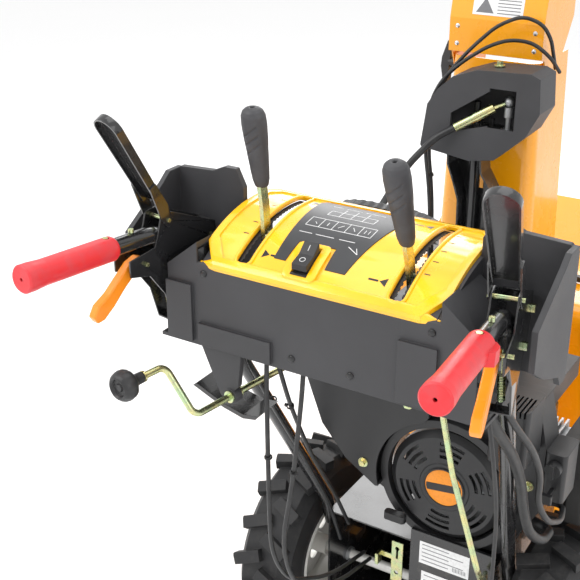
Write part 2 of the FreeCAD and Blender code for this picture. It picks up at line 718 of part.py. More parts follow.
def shroud_wing():
    """Raised cover on the left of the recoil cover, with a round cut around it."""
    y = SHROUD_REAR
    outline = [(30, 660), (30, 612), (-2, 560), (-40, 452), (-64, 446), (-124, 484), (-172, 540),
            (-210, 640), (-210, 660)]
    plate = along_y(outline, y - 16, y + 13)
    inner = along_y([(26, 655), (26, 614), (-6, 562), (-44, 457), (-64, 451), (-121, 487), (-168, 542),
            (-205, 640), (-205, 655)],
                    y - 13, y + 14)
    around = rod((CRANK_X, y - 20, CRANK_Z), (CRANK_X, y + 20, CRANK_Z), RECOIL_R + 21)
    posts = [rod((x, y - 14, z), (x, y + 13, z), 8) for x, z in WING_BOLTS]
    return cut(fuse([plate.cut(inner)] + posts),
            [around] + [rod((x, y - 30, z), (x, y + 20, z), 3) for x, z in WING_BOLTS])


def engine_bolts():
    heads = []
    for x, z in WING_BOLTS:
        y = SHROUD_REAR - 16
        heads.append(rod((x, y, z), (x, y + 20, z), 2.95).fuse(rod((x, y - 2, z), (x, y, z), 9))
                     .fuse(hex_head((x, y - 2, z), (0, -1, 0), 10, 6)))
    x, z = CRANK_X + 138, CRANK_Z + 42
    y = SHROUD_REAR + 14
    heads.append(rod((x, y - 2, z), (x, y, z), 9).fuse(hex_head((x, y - 2, z), (0, -1, 0), 10, 6)))
    return Part.makeCompound(heads)


def recoil_cover():
    y = RECOIL_FACE
    x, z = CRANK_X, CRANK_Z
    profile = [(0, y), (44, y), (46, y + 2), (92, y + 3), (RECOIL_R, y + 12), (RECOIL_R, y + 30),
               (RECOIL_R - 3, y + 30), (RECOIL_R - 3, y + 13), (90, y + 6), (0, y + 6)]
    face = polygon([V(x + r, v, z) for r, v in profile])
    cup = face.revolve(V(x, 0, z), V(0, 1, 0), 360)
    slots = []
    for k in range(6):
        for radius in (58, 70, 82):
            span = 34 - (radius - 58) * 0.12
            band = ring_band(x, z, y - 5, y + 12, radius - 3, radius + 3, 60 * k + 8, span)
            slots.append(band)
    return cut(cup, slots)


def ring_band(x, z, y0, y1, inner, outer, start, span):
    """Part of a flat ring about an axis along Y."""
    a0, a1 = math.radians(start), math.radians(start + span)
    mid = (a0 + a1) / 2

    def at(r, a):
        return V(x + r * math.cos(a), y0, z + r * math.sin(a))
    edges = [Part.Arc(at(outer, a0), at(outer, mid), at(outer, a1)).toShape(),
             Part.makeLine(at(outer, a1), at(inner, a1)),
             Part.Arc(at(inner, a1), at(inner, mid), at(inner, a0)).toShape(),
             Part.makeLine(at(inner, a0), at(outer, a0))]
    return Part.Face(Part.Wire(edges)).extrude(V(0, y1 - y0, 0))


def flywheel():
    x, z = CRANK_X, CRANK_Z
    wheel = rod((x, -158, z), (x, -126, z), 90)
    shaft = rod((x, -175, z), (x, BLOCK_REAR, z), 10)
    return wheel.fuse(shaft)


def starter_grip():
    x, z = CRANK_X - STARTER_OFF, CRANK_Z - STARTER_OFF
    y = SHROUD_REAR
    bar = rounded(x - 20, x + 20, y - 26, y - 10, 6, z - 7, z + 7)
    return bar.fuse(rod((x, y - 12, z), (x, y - GAP, z), 5))


def fuel_tank():
    tank = rounded(-110, 120, -150, 10, 24, 676, 748)
    inner = rounded(-107, 117, -147, 7, 21, 679, 745)
    neck = rod((60, -70, 744), (60, -70, 758), 24)
    return cut(tank.fuse(neck), [inner, rod((60, -70, 740), (60, -70, 760), 20)])


def fuel_cap():
    cap = rod((60, -70, 758.3), (60, -70, 776), 30)
    skirt = pipe((60, -70, 749), (60, -70, 758.3), 30, 24.4)
    teeth = [rod((60 + 30 * math.cos(a), -70 + 30 * math.sin(a), 749),
            (60 + 30 * math.cos(a), -70 + 30 * math.sin(a), 776), 3)
             for a in [math.radians(30 * k) for k in range(12)]]
    return fuse([cap, skirt] + teeth)


def muffler():
    can = rounded(226, 262, -70, 30, 14, 430, 560)
    pipe_in = rod((CRANK_X + 150, -20, CRANK_Z), (226, -20, CRANK_Z), 11)
    outlet = rod((250, 30, 470), (258, 62, 462), 10)
    return fuse([can, pipe_in, outlet])


def muffler_guard():
    outer = rounded(222, 276, -84, 44, 16, 414, 574).cut(rounded(224, 274, -82, 42, 14, 400, 572))
    outer = outer.cut(box(200, 240, -90, 50, 400, 560))
    slots = [box(262, 290, -64 + 18 * k, -56 + 18 * k, 440, 550) for k in range(6)]
    return cut(outer, slots + [rod((250, 20, 471), (259, 80, 461), 14)])


def intake_box():
    """Air box beside the recoil cover, with a comb of vent slots along its top."""
    block = rounded(150, 214, -250, SHROUD_REAR + 14, 10, 600, 700)
    inner = rounded(153, 211, -247, -173, 7, 604, 696)
    comb = [box(156 + 7 * k, 159 + 7 * k, -252, -200, 690, 702) for k in range(8)]
    return cut(block, [inner] + comb)


def control_box():
    """Engine control panel on the right, which carries key, choke, throttle and primer."""
    block = rounded(222, 258, -176, -112, 8, 510, 598)
    return block.cut(rounded(225, 255, -173, -115, 5, 513, 595))


def choke_knob():
    x, z = 240, 575
    disc = rod((x, -177, z), (x, -189, z), 13)
    bar = box(x - 4, x + 4, -195, -189, z - 12, z + 12)
    return fuse([disc, bar])


def throttle_lever():
    stem = box(237, 243, -206, -177, 532, 536)
    tab = rounded(230, 250, -212, -204, 3, 526, 542)
    return fuse([stem, tab])


# ---------------------------------------------------------------- chute drive


def chute_support():
    """Black S-shaped channel that carries the control head, on a boxed foot."""
    web_front = 98.0
    flange_rear = 56.0
    t = SHEET
    left = [(-79, 992), (-77, 962), (-64, 930), (-54, 900), (-53, 860), (-60, 640)]
    right = [(27, 640), (17, 860), (17, 895), (7, 925), (-12, 955), (-16, 992)]
    outline = left + right
    solid = along_y(outline, flange_rear, web_front)
    inside = [(x + t, z) for x, z in left] + [(x - t, z) for x, z in right]
    inside[0] = (inside[0][0], 993)
    inside[-1] = (inside[-1][0], 993)
    channel = solid.cut(along_y(inside, flange_rear - 1, web_front - t))
    foot = box(-78, 41, 44, web_front, 586, 640)
    foot = foot.cut(box(-75, 38, 40, 120, 589, 637))
    foot = foot.cut(box(-90, 50, DRIVE_Y + 6, 120, 586, 637.1))
    floor = box(-78, 41, 44, 150, 586, 589)
    slot = box(-30, -22, 90, 100, 915, 940)
    holes = [rod((CHUTE_X, DRIVE_Y, 580), (CHUTE_X, DRIVE_Y, 645), 6 + RUN), slot,
             rod((CHUTE_X, CHUTE_Y, 580), (CHUTE_X, CHUTE_Y, 595), NECK_R + SHEET + 0.1)]
    return cut(fuse([channel, foot, floor]), holes)


def drive_shaft():
    shaft = rod((CHUTE_X, DRIVE_Y, 589.3), (CHUTE_X, DRIVE_Y, 1075), 6)
    pinion = spur_gear(GEAR_MODULE, PINION_TEETH, CHUTE_X, DRIVE_Y, GEAR_Z, GEAR_H, 5,
            90 + 180 / PINION_TEETH)
    towards = math.degrees(math.atan2(IDLER_Y - DRIVE_Y, IDLER_X - CHUTE_X))
    top = spur_gear(HEAD_MODULE, HEAD_TEETH, CHUTE_X, DRIVE_Y, HEAD_GEAR_Z, 10, 5, towards)
    return fuse([shaft, pinion, top])


def head_idler():
    towards = math.degrees(math.atan2(DRIVE_Y - IDLER_Y, CHUTE_X - IDLER_X))
    gear = spur_gear(HEAD_MODULE, IDLER_TEETH, IDLER_X, IDLER_Y, HEAD_GEAR_Z, 10, 3,
            towards + 180 / IDLER_TEETH)
    return gear.fuse(rod((IDLER_X, IDLER_Y, HEAD_GEAR_Z - 6), (IDLER_X, IDLER_Y, HEAD_GEAR_Z + 24), 4))


def head_input():
    """Upright input shaft with its gear and the driven yoke of the joint."""
    to_input = math.degrees(math.atan2(INPUT_Y - IDLER_Y, INPUT_X - IDLER_X))
    to_drive = math.degrees(math.atan2(DRIVE_Y - IDLER_Y, CHUTE_X - IDLER_X))
    step = 360 / IDLER_TEETH
    off = (to_input - to_drive + step / 2) % step - step / 2
    gear = spur_gear(HEAD_MODULE, HEAD_TEETH, INPUT_X, INPUT_Y, HEAD_GEAR_Z, 10, 3,
                     to_input + 180 + off * IDLER_TEETH / HEAD_TEETH)
    shaft = rod((INPUT_X, INPUT_Y, HEAD_GEAR_Z - 6), (INPUT_X, INPUT_Y, 1064), 5)
    boss = rod((INPUT_X, INPUT_Y, 1060), (INPUT_X, INPUT_Y, JOINT_Z - 9), 8)
    ball = Part.makeSphere(JOINT_R, V(INPUT_X, INPUT_Y, JOINT_Z))
    return fuse([gear, shaft, boss, ball])


def head_cover():
    """Moulded cover of the control head: a dome, a box on its right and an open pocket for the joint."""
    w = 4.0
    outer = along_y(list(HEAD_OUTLINE), HEAD_REAR, HEAD_FRONT)
    inside = [(-112, 980), (-102, 1070), (-85, 1097), (-60, 1120), (-20, 1135), (71, 1139), (84, 1133),
            (88, 1082),
              (69, 1043), (18, 996), (18, 980)]
    shell = outer.cut(along_y(inside, HEAD_REAR + w, HEAD_FRONT - w))
    upright = [e for e in shell.Edges if abs(e.tangentAt(e.FirstParameter).y) > 0.9 and e.Length > 70
               and e.BoundBox.XMax < -40]
    if upright:
        shell = shell.makeFillet(5, upright)
    pocket = box(4, 50, 10, 74, 1046, 1112)
    trough = along_y([(10, 1050), (44, 1108), (12, 1112), (-62, 1062), (-62, 1030)], 10, 52)
    hole = rod((4, 62, 1128), (4, 62, 1150), 4)
    gap = box(-80, -12, HEAD_REAR + w, HEAD_FRONT + 1, 980, 996)
    return cut(shell, [pocket, trough, hole, gap])


def head_bolt():
    return fuse([rod((4, 62, 1135), (4, 62, 1142), 3.9), rod((4, 62, 1141.6), (4, 62, 1144), 9),
                 hex_head((4, 62, 1144), (0, 0, 1), 10, 6)])


# ---------------------------------------------------------------- discharge chute
def u_profile(half, back, front, radius, z):
    """Plan outline of the chute with round corners at the back, closed across the front."""
    x0, x1 = CHUTE_X - half, CHUTE_X + half
    y0, y1 = CHUTE_Y - back, CHUTE_Y + front
    s = radius * (1 - math.sqrt(0.5))
    edges = [Part.makeLine(V(x0, y1, z), V(x0, y0 + radius, z)),
             Part.Arc(V(x0, y0 + radius, z), V(x0 + s, y0 + s, z), V(x0 + radius, y0, z)).toShape(),
             Part.makeLine(V(x0 + radius, y0, z), V(x1 - radius, y0, z)),
             Part.Arc(V(x1 - radius, y0, z), V(x1 - s, y0 + s, z), V(x1, y0 + radius, z)).toShape(),
             Part.makeLine(V(x1, y0 + radius, z), V(x1, y1, z)),
             Part.makeLine(V(x1, y1, z), V(x0, y1, z))]
    return Part.Wire(edges)


def chute():
    t = SHEET
    outer = Part.makeLoft([u_profile(CHUTE_LOW_HALF, CHUTE_BACK, CHUTE_FRONT, CHUTE_CORNER, CHUTE_SEAT),
                           u_profile(CHUTE_TOP_HALF, CHUTE_BACK, CHUTE_FRONT, CHUTE_CORNER - 8,
                                   CHUTE_TOP)], True, True)
    inner = Part.makeLoft([u_profile(CHUTE_LOW_HALF - t, CHUTE_BACK - t, CHUTE_FRONT + 20,
            CHUTE_CORNER - t, CHUTE_SEAT),
                           u_profile(CHUTE_TOP_HALF - t, CHUTE_BACK - t, CHUTE_FRONT + 20,
                                   CHUTE_CORNER - 8 - t, CHUTE_TOP)],
                          True, True)
    collar = ring(CHUTE_X, CHUTE_Y, GEAR_Z + GEAR_H, CHUTE_SEAT, NECK_R + SHEET, NECK_R)
    plate = ring(CHUTE_X, CHUTE_Y, CHUTE_SEAT - SHEET, CHUTE_SEAT, 122, NECK_R)
    hood = ring(CHUTE_X, CHUTE_Y, CHUTE_SEAT, CHUTE_SEAT + 60, NECK_R + SHEET, NECK_R)
    hood = hood.cut(box(-300, 300, 0, CHUTE_Y + CHUTE_FRONT - 6, CHUTE_SEAT - 1, 800))
    shell = fuse([outer.cut(inner), collar, plate, hood])
    holes = [rod((-200, HINGE_Y, HINGE_Z), (150, HINGE_Y, HINGE_Z), 5)]
    return cut(shell, holes)


def chute_gear():
    """Toothed ring under the chute, turned by the pinion."""
    return spur_gear(GEAR_MODULE, RING_TEETH, CHUTE_X, CHUTE_Y, GEAR_Z, GEAR_H, NECK_R + SHEET, -90)


def chute_slide():
    """Slide ring between the housing flange and the toothed ring."""
    return ring(CHUTE_X, CHUTE_Y, HOUSING_TOP, GEAR_Z - GAP, FLANGE_R, NECK_R + SHEET)


def deflector():
    t = 2.5
    half = DEFLECTOR_HALF
    y_back = CHUTE_Y - CHUTE_BACK - 4
    back = [(y_back, 1142), (y_back - 1, 1200), (y_back + 12, 1262), (y_back + 42, DEFLECTOR_TOP)]
    inner = [(y + t, z) for y, z in back]
    sheet = along_x(back + [(inner[3][0] + 1, DEFLECTOR_TOP - 1)] + inner[2::-1], CHUTE_X - half,
            CHUTE_X + half)
    side = back + [(y_back + 150, DEFLECTOR_TOP - 34), (y_back + 150, 1196), (HINGE_Y + 26, HINGE_Z - 4),
                   (HINGE_Y, HINGE_Z - 26), (HINGE_Y - 24, HINGE_Z - 8), (y_back + 14, 1138)]
    walls = [along_x(side, CHUTE_X - half, CHUTE_X - half + t),
            along_x(side, CHUTE_X + half - t, CHUTE_X + half)]
    shell = fuse([sheet] + walls)
    return shell.cut(rod((-200, HINGE_Y, HINGE_Z), (150, HINGE_Y, HINGE_Z), 5 + RUN))


def deflector_pin():
    """Right hinge bolt with its cable lever post, and the left hinge bolt inside the knob."""
    right = CHUTE_X + DEFLECTOR_HALF
    inner = CHUTE_X + CHUTE_TOP_HALF - 3.2
    bolt = rod((inner - 8, HINGE_Y, HINGE_Z), (right + 6, HINGE_Y, HINGE_Z), 4.9)
    head = hex_head((right + 0.3, HINGE_Y, HINGE_Z), (1, 0, 0), 13, 6)
    return bolt.fuse(head)


def deflector_knob():
    left = CHUTE_X - DEFLECTOR_HALF
    inner = CHUTE_X - CHUTE_TOP_HALF + 3.2
    stem = rod((inner + 8, HINGE_Y, HINGE_Z), (left - 8, HINGE_Y, HINGE_Z), 4.9)
    washer = rod((left - 0.3, HINGE_Y, HINGE_Z), (left - 3, HINGE_Y, HINGE_Z), 11)
    boss = rod((left - 3, HINGE_Y, HINGE_Z), (left - 22, HINGE_Y, HINGE_Z), 9)
    bar = along_z([(left - 18, HINGE_Y - 34), (left - 18, HINGE_Y + 34), (left - 26, HINGE_Y + 38),
            (left - 34, HINGE_Y + 8),
                   (left - 34, HINGE_Y - 8), (left - 26, HINGE_Y - 38)], HINGE_Z - 8, HINGE_Z + 8)
    bar.rotate(V(left, HINGE_Y, HINGE_Z), V(1, 0, 0), 80)
    return fuse([stem, washer, boss, bar])


# ---------------------------------------------------------------- handles
def grip_point(back):
    """Point on the right grip's axis, the given distance ahead of its rear end."""
    end = V(GRIP_X, GRIP_END, GRIP_Z)
    bend = V(BEND_X, BEND_Y, BEND_Z)
    return end + (bend - end).normalize() * back


def handle_tube(side):
    path = [tuple(grip_point(4)), (BEND_X, BEND_Y, BEND_Z), (FOOT_X, FOOT_Y - 20, FOOT_Z + 60),
            (FOOT_X, FOOT_Y, FOOT_Z)]
    outer = bent_rod(path, 60, TUBE_R)
    inner = bent_rod(path, 60, TUBE_R - TUBE_WALL)
    return sided(side, outer.cut(inner))


def grip(side):
    start = grip_point(0)
    heading = (grip_point(10) - start).normalize()
    length = GRIP_LENGTH
    profile = [(0, 0), (0, BULB_R - 2), (2, BULB_R), (14, BULB_R), (34, GRIP_R), (length - 4, GRIP_R),
               (length, GRIP_R - 2), (length, TUBE_R), (4, TUBE_R), (4, 0)]
    face = polygon([V(r, a, 0) for a, r in profile])
    solid = face.revolve(V(0, 0, 0), V(0, 1, 0), 360)
    lump = along_z([(10, length - 34), (24, length - 28), (24, length - 10), (17, length), (10, length)],
            -13, 5)
    solid = solid.fuse(lump).cut(rod((0, -5, 0), (0, 10, 0), 2.5)).cut(rod((0, 4, 0), (0, length + 1, 0),
            TUBE_R))
    solid = solid.cut(rod((0, length - 12, 8), (0, length - 12, 30), 5))
    turn = FreeCAD.Placement(start, FreeCAD.Rotation(V(0, 1, 0), heading))
    solid.Placement = turn
    return sided(side, solid)


def handle_fasteners():
    heads = []
    for back in (GRIP_LENGTH - 12, GRIP_LENGTH + 36):
        p = grip_point(back)
        base = p + V(0, 0, TUBE_R + GAP)
        screw = Part.makeCylinder(4, 5, base, V(0, 0, 1))
        heads += [screw, mirrored(screw)]
    for side in (-1, 1):
        for y, z in BRACKET_BOLTS:
            centre = bracket_point(y, z, BRACKET_HALF + BRACKET_T)
            head = hex_head(centre, bracket_normal(), 10, 5)
            inner = bracket_point(y, z, -BRACKET_HALF - BRACKET_T)
            nut = hex_head(inner, bracket_normal() * -1, 10, 5)
            for piece in (head, nut):
                heads.append(sided(side, piece))
    return Part.makeCompound(heads)


def bracket_normal():
    """Outward normal of the right bracket's cheeks."""
    a = math.radians(HANDLE_YAW)
    return V(math.cos(a), math.sin(a), 0)


def bracket_point(y, z, out):
    """Point on the right bracket's middle plane moved out along its normal."""
    a = math.radians(HANDLE_YAW)
    x = BEND_X - (y - BEND_Y) * math.tan(a)
    return V(x, y, z) + bracket_normal() * out


def bracket_prism(outline, inner, outer):
    """Outline in (y, z) on the bracket plane, between two distances along the normal."""
    pts = [bracket_point(y, z, inner) for y, z in outline]
    return polygon(pts).extrude(bracket_normal() * (outer - inner))


def handle_bracket(side):
    outline = [(-536, 1000), (-531, 1018), (-512, 1020), (-430, 984), (-426, 956), (-446, 918), (-486, 886),
               (-496, 850), (-516, 850), (-530, 900), (-556, 936), (-590, 944), (-590, 968), (-545, 976)]
    cheek = bracket_prism(outline, BRACKET_HALF, BRACKET_HALF + BRACKET_T)
    other = bracket_prism(outline, -BRACKET_HALF - BRACKET_T, -BRACKET_HALF)
    bridge = bracket_prism([(-430, 984), (-428, 970), (-431, 969), (-433, 983)], -BRACKET_HALF,
            BRACKET_HALF)
    foot = bracket_prism([(-516, 850), (-496, 850), (-496, 852.5), (-516, 852.5)], -BRACKET_HALF,
            BRACKET_HALF)
    shell = fuse([cheek, other, bridge, foot])
    tools = []
    for y, z in BRACKET_BOLTS + ((LEVER_AXIS_Y, LEVER_AXIS_Z), (TRIGGER_Y, TRIGGER_Z)):
        start = bracket_point(y, z, -30)
        tools.append(Part.makeCylinder(3 + RUN, 60, start, bracket_normal()))
    return sided(side, cut(shell, tools))


def bracket_pins():
    """Rivets on which the clutch levers and the steering triggers turn."""
    pins = []
    for side in (-1, 1):
        for y, z in ((LEVER_AXIS_Y, LEVER_AXIS_Z), (TRIGGER_Y, TRIGGER_Z)):
            start = bracket_point(y, z, -BRACKET_HALF - BRACKET_T - 5)
            pin = Part.makeCylinder(3, 2 * (BRACKET_HALF + BRACKET_T + 5), start, bracket_normal())
            pins.append(sided(side, pin))
    return Part.makeCompound(pins)


def clutch_lever(side):
    """Stamped channel lever with a round tip, in its raised position."""
    inner = LEVER_HALF - 2.2
    web = hull_plate([(24, 0, LEVER_HALF - 4), (LEVER_LENGTH - LEVER_HALF, 0, LEVER_HALF)], 2.2,
            V(0, 0, 1), V(0, 0, 10), V(0, 1, 0))
    outer = hull_plate([(24, 0, LEVER_HALF - 4), (LEVER_LENGTH - LEVER_HALF, 0, LEVER_HALF)], 10,
            V(0, 0, 1), V(0, 0, 0), V(0, 1, 0))
    hollow = hull_plate([(24, 0, LEVER_HALF - 6.2), (LEVER_LENGTH - LEVER_HALF, 0, inner)], 10.2,
            V(0, 0, 1), V(0, 0, -0.1), V(0, 1, 0))
    paddle = web.fuse(outer.cut(hollow))
    paddle = paddle.cut(box(-40, 40, -40, 26, -20, 40))
    ears = []
    for x0 in (BRACKET_HALF + BRACKET_T + 0.5, -BRACKET_HALF - BRACKET_T - 0.5 - 2.2):
        ear = along_x([(-9, -6), (9, -9), (60, 0), (60, 12.2), (20, 12.2), (-9, 6)], x0, x0 + 2.2)
        ears.append(ear)
    bridge = box(-BRACKET_HALF - BRACKET_T - 2, BRACKET_HALF + BRACKET_T + 2, 22, 40, 10, 12.2)
    solid = fuse([paddle, bridge] + ears)
    solid = solid.cut(rod((-40, 0, 0), (40, 0, 0), 3 + RUN))
    solid.rotate(V(0, 0, 0), V(0, 0, 1), 180)
    solid.rotate(V(0, 0, 0), V(1, 0, 0), -LEVER_LIFT)
    solid.rotate(V(0, 0, 0), V(0, 0, 1), HANDLE_YAW)
    solid.translate(bracket_point(LEVER_AXIS_Y, LEVER_AXIS_Z, 0))
    return sided(side, solid)


def steering_trigger(side):
    """Orange finger trigger hanging below the grip."""
    outline = [(-566, 966), (-556, 962), (-556, 950), (-568, 946), (-592, 926), (-612, 906), (-630, 892),
            (-642, 890),
               (-648, 900), (-640, 914), (-620, 926), (-600, 944), (-582, 960)]
    body = bracket_prism(outline, -7, 7)
    start = bracket_point(TRIGGER_Y, TRIGGER_Z, -30)
    return sided(side, body.cut(Part.makeCylinder(3 + RUN, 60, start, bracket_normal())))


# ---------------------------------------------------------------- dash
def crown(lift):
    """Three points of the convex dash top, in (y, z), raised by the lift."""
    return V(0, DASH_REAR - 4, 962 + lift), V(0, -462, 1004 + lift), V(0, DASH_FRONT - 6, 1012 + lift)


def crown_shell(low, high, half):
    """Curved slab between two heights above the dash crown."""
    a, b, c = crown(low)
    d, e, f = crown(high)
    edges = [Part.Arc(a, b, c).toShape(), Part.makeLine(c, f), Part.Arc(f, e, d).toShape(),
            Part.makeLine(d, a)]
    return prism_x(Part.Face(Part.Wire(edges)), half)


def dash_core(inset, low_z):
    """Middle of the dash: straight walls under the curved top."""
    a, b, c = crown(-PANEL_THICK - inset)
    half = DASH_HALF - inset
    arc = Part.Arc(a, b, c).toShape()
    edges = [arc, Part.makeLine(c, V(0, c.y, low_z)), Part.makeLine(V(0, c.y, low_z), V(0, a.y, low_z)),
             Part.makeLine(V(0, a.y, low_z), a)]
    solid = prism_x(Part.Face(Part.Wire(edges)), half)
    return solid.common(box(-half, half, DASH_REAR + inset, DASH_FRONT - inset, 0, 2000))


def dash_shoulder(inset, low_z):
    x0, x1 = (DASH_HALF - 10 if inset else DASH_HALF - PLASTIC), SHOULDER_X - inset
    outline = [(x0, low_z), (x1, low_z), (x1, 938 - inset), (x0, 992 - inset)]
    return along_y(outline, DASH_REAR + inset, -425 - inset)


def guard(side):
    """Wind guard: an upright wall ahead of the hand, with an outer cheek."""
    x0 = DASH_HALF - PLASTIC
    front = along_y([(x0, 864), (GUARD_X - 12, 864), (GUARD_X, 876), (GUARD_X, 1040), (GUARD_X - 10, 1050),
            (236, 1053),
                     (216, 1062), (196, 1062), (x0, 1036)], GUARD_FRONT - GUARD_WALL, GUARD_FRONT)
    cheek = along_x([(GUARD_FRONT - 2, 864), (GUARD_FRONT - 2, 1048), (-440, 1048), (-458, 1034),
            (-538, 984), (-538, 930),
                     (-500, 905), (-440, 880), (-430, 864)], GUARD_X - 8, GUARD_X)
    return sided(side, front.fuse(cheek))


def dash_housing():
    low = DASH_LOW
    outer = fuse([dash_core(0, low), dash_shoulder(0, low), mirrored(dash_shoulder(0, low))])
    inner = fuse([dash_core(PLASTIC, low - 1), dash_shoulder(PLASTIC, low - 1),
            mirrored(dash_shoulder(PLASTIC, low - 1))])
    ear = box(-278, -246, DASH_REAR, DASH_REAR + 34, 842, 866)
    rib = fuse([box(-248, -192, DASH_REAR - 5, DASH_REAR + 1, low + 6, 928),
            box(-182, -62, DASH_REAR - 5, DASH_REAR + 1, low + 4, 872),
                box(128, 182, DASH_REAR - 5, DASH_REAR + 1, low + 6, 928)])
    shell = fuse([outer, ear, rib, guard(1), guard(-1), crank_strut()])
    shell = cut(shell, [inner])
    tools = [box(side * SLOT_X - SLOT_HALF - 6, side * SLOT_X + SLOT_HALF + 6, -534, -346, 940,
            1100) for side in (-1, 1)]
    tools.append(box(-44, -4, -530, -484, 940, 1100))
    for side in (-1, 1):
        path = [tuple(grip_point(4)), (BEND_X, BEND_Y, BEND_Z), (FOOT_X, FOOT_Y - 20, FOOT_Z + 60)]
        tools.append(sided(side, bent_rod(path, 60, TUBE_R + CLEAR)))
        room = bracket_prism([(-540, 840), (-540, 1030), (-386, 1030), (-386, 936), (-440, 900),
                (-484, 840)],
                             -BRACKET_HALF - BRACKET_T - 7, BRACKET_HALF + BRACKET_T + 7)
        tools.append(sided(side, room.common(box(100, 400, -560, GUARD_FRONT - GUARD_WALL - 0.5, 800,
                1100))))
    return cut(shell, tools)


def dash_outline(inset):
    """Plan outline of the yellow panel, narrower at its front corners."""
    half = PANEL_HALF - inset
    rear = DASH_REAR - 2 + inset
    front = DASH_FRONT - 8 - inset
    return [(-half + 26, rear), (half - 26, rear), (half, rear + 30), (half - 2, front - 16),
            (half - 14, front),
            (-half + 14, front), (-half + 2, front - 16), (-half, rear + 30)]


def dash_panel():
    """Glossy yellow panel with a raised rim, two lever slots and a frame for the switch."""
    solid = crown_shell(-PANEL_THICK, 0, PANEL_HALF).common(along_z(dash_outline(0), 900, 1100))
    rim = crown_shell(-1, 3, PANEL_HALF).common(along_z(dash_outline(0), 900,
            1100).cut(along_z(dash_outline(11), 890, 1110)))
    boss = crown_shell(-2, 6, 26)
    boss.translate(V(SWITCH_X, 0, 0))
    boss = boss.common(rounded(SWITCH_X - 25, SWITCH_X + 25, -532, -478, 8, 900, 1100))
    solid = fuse([solid, rim, boss])
    tools = []
    for side in (-1, 1):
        tools.append(rounded(side * SLOT_X - SLOT_HALF, side * SLOT_X + SLOT_HALF, -526, -352, 9, 900,
                1100))
    tools.append(box(SWITCH_X - 12.5, SWITCH_X + 12.5, -528, -484, 900, 1100))
    return cut(solid, tools)


def dash_insert():
    """Thin dark legend plate, shaped like an arch round the switch."""
    plate = crown_shell(0, 1.2, 90)
    outline = [(-74, -508), (-56, -508), (-54, -474), (2, -474), (4, -508), (34, -508), (60, -364),
            (52, -357), (-78, -357), (-84, -366)]
    return plate.common(along_z(outline, 900, 1100))


def switch_body():
    return box(SWITCH_X - 12, SWITCH_X + 12, -527.5, -484.5, 940, 978)


def switch_rocker():
    outline = [(-525, 982), (-525, 991), (-506, 998), (-491, 1012), (-488, 984)]
    return along_x(outline, SWITCH_X - 11.4, SWITCH_X + 11.4)


def lever_guides():
    """Toothed guide plates beside the lever slots, with the shaft's end plates."""
    plates = []
    for side in (-1, 1):
        x0 = side * SLOT_X + 9
        outline = [(-520, 930), (-520, 966)]
        for k in range(1, 8):
            y = -500 + 18 * k
            outline += [(y - 9, 974), (y - 6, 984), (y + 3, 984), (y + 6, 974)]
        outline += [(-352, 966), (-352, 930), (-440, 876), (-470, 876)]
        plate = along_x(outline, x0, x0 + 3)
        plates.append(plate.cut(rod((x0 - 5, LEVER_PIVOT_Y, LEVER_PIVOT_Z),
                (x0 + 8, LEVER_PIVOT_Y, LEVER_PIVOT_Z), 6)))
    return Part.makeCompound(plates)


def lever_shaft():
    return rod((-SLOT_X - 22, LEVER_PIVOT_Y, LEVER_PIVOT_Z), (SLOT_X + 22, LEVER_PIVOT_Y, LEVER_PIVOT_Z), 6)


def shift_lever(side, knob_low, knob_top):
    """Flat bar on a hub; returns the bar."""
    x = side * SLOT_X
    low = V(x, LEVER_PIVOT_Y, LEVER_PIVOT_Z)
    top = V(x, knob_top[0], knob_top[1])
    start = V(x, knob_low[0], knob_low[1])
    heading = (top - start).normalize()
    bend = start - heading * 30
    hub = rod((x - 7, low.y, low.z), (x + 7, low.y, low.z), 13)
    path = bent_path([low, bend, top - heading * 30], 40)
    edge = path.Edges[0]
    d = edge.tangentAt(edge.FirstParameter)
    across = V(1, 0, 0)
    other = d.cross(across)
    corners = [low + across * a + other * b for a, b in ((-3, -8), (3, -8), (3, 8), (-3, 8), (-3, -8))]
    bar = path.makePipeShell([Part.makePolygon(corners)], True, False)
    arm = box(x - 3, x + 3, low.y, low.y + 42, low.z - 8, low.z + 8)
    return fuse([hub, bar, arm]).cut(rod((x - 20, low.y, low.z), (x + 20, low.y, low.z), 6 + RUN))


def lever_knob(side, knob_low, knob_top):
    """Soft handle on the bar with three slanting grooves."""
    x = side * SLOT_X
    start, top = V(x, knob_low[0], knob_low[1]), V(x, knob_top[0], knob_top[1])
    heading = (top - start).normalize()
    length = (top - start).Length
    profile = [(0, 0), (0, 10), (6, 12.5), (length * 0.45, 15), (length * 0.8, 17), (length - 8, 16),
            (length - 2, 11), (length, 0)]
    face = polygon([V(r, 0, a) for a, r in profile])
    solid = face.revolve(V(0, 0, 0), V(0, 0, 1), 360)
    solid.Placement = FreeCAD.Placement(start, FreeCAD.Rotation(V(0, 0, 1), heading))
    bar_end = top - heading * 30
    slot = Part.makeBox(6.02, 16.02, length - 30 + 0.01, V(-3.01, -8.01, 0))
    slot.Placement = FreeCAD.Placement(start, FreeCAD.Rotation(V(0, 0, 1), heading))
    hole = rod(tuple(top - heading * 12), tuple(top + heading * 4), 2.5)
    return cut(solid, [slot, hole])


# ---------------------------------------------------------------- crank and cables


def crank_at(ahead):
    return BUSH + CRANK_HEADING * ahead


def crank_handle():
    low = crank_at(-78)
    top = V(ARM_TOP.x, ARM_TOP.y, ARM_TOP.z)
    stem = top - CRANK_HEADING * 72
    return bent_rod([tuple(crank_at(118)), tuple(low), tuple(top), tuple(stem)], 16, CRANK_ROD_R)


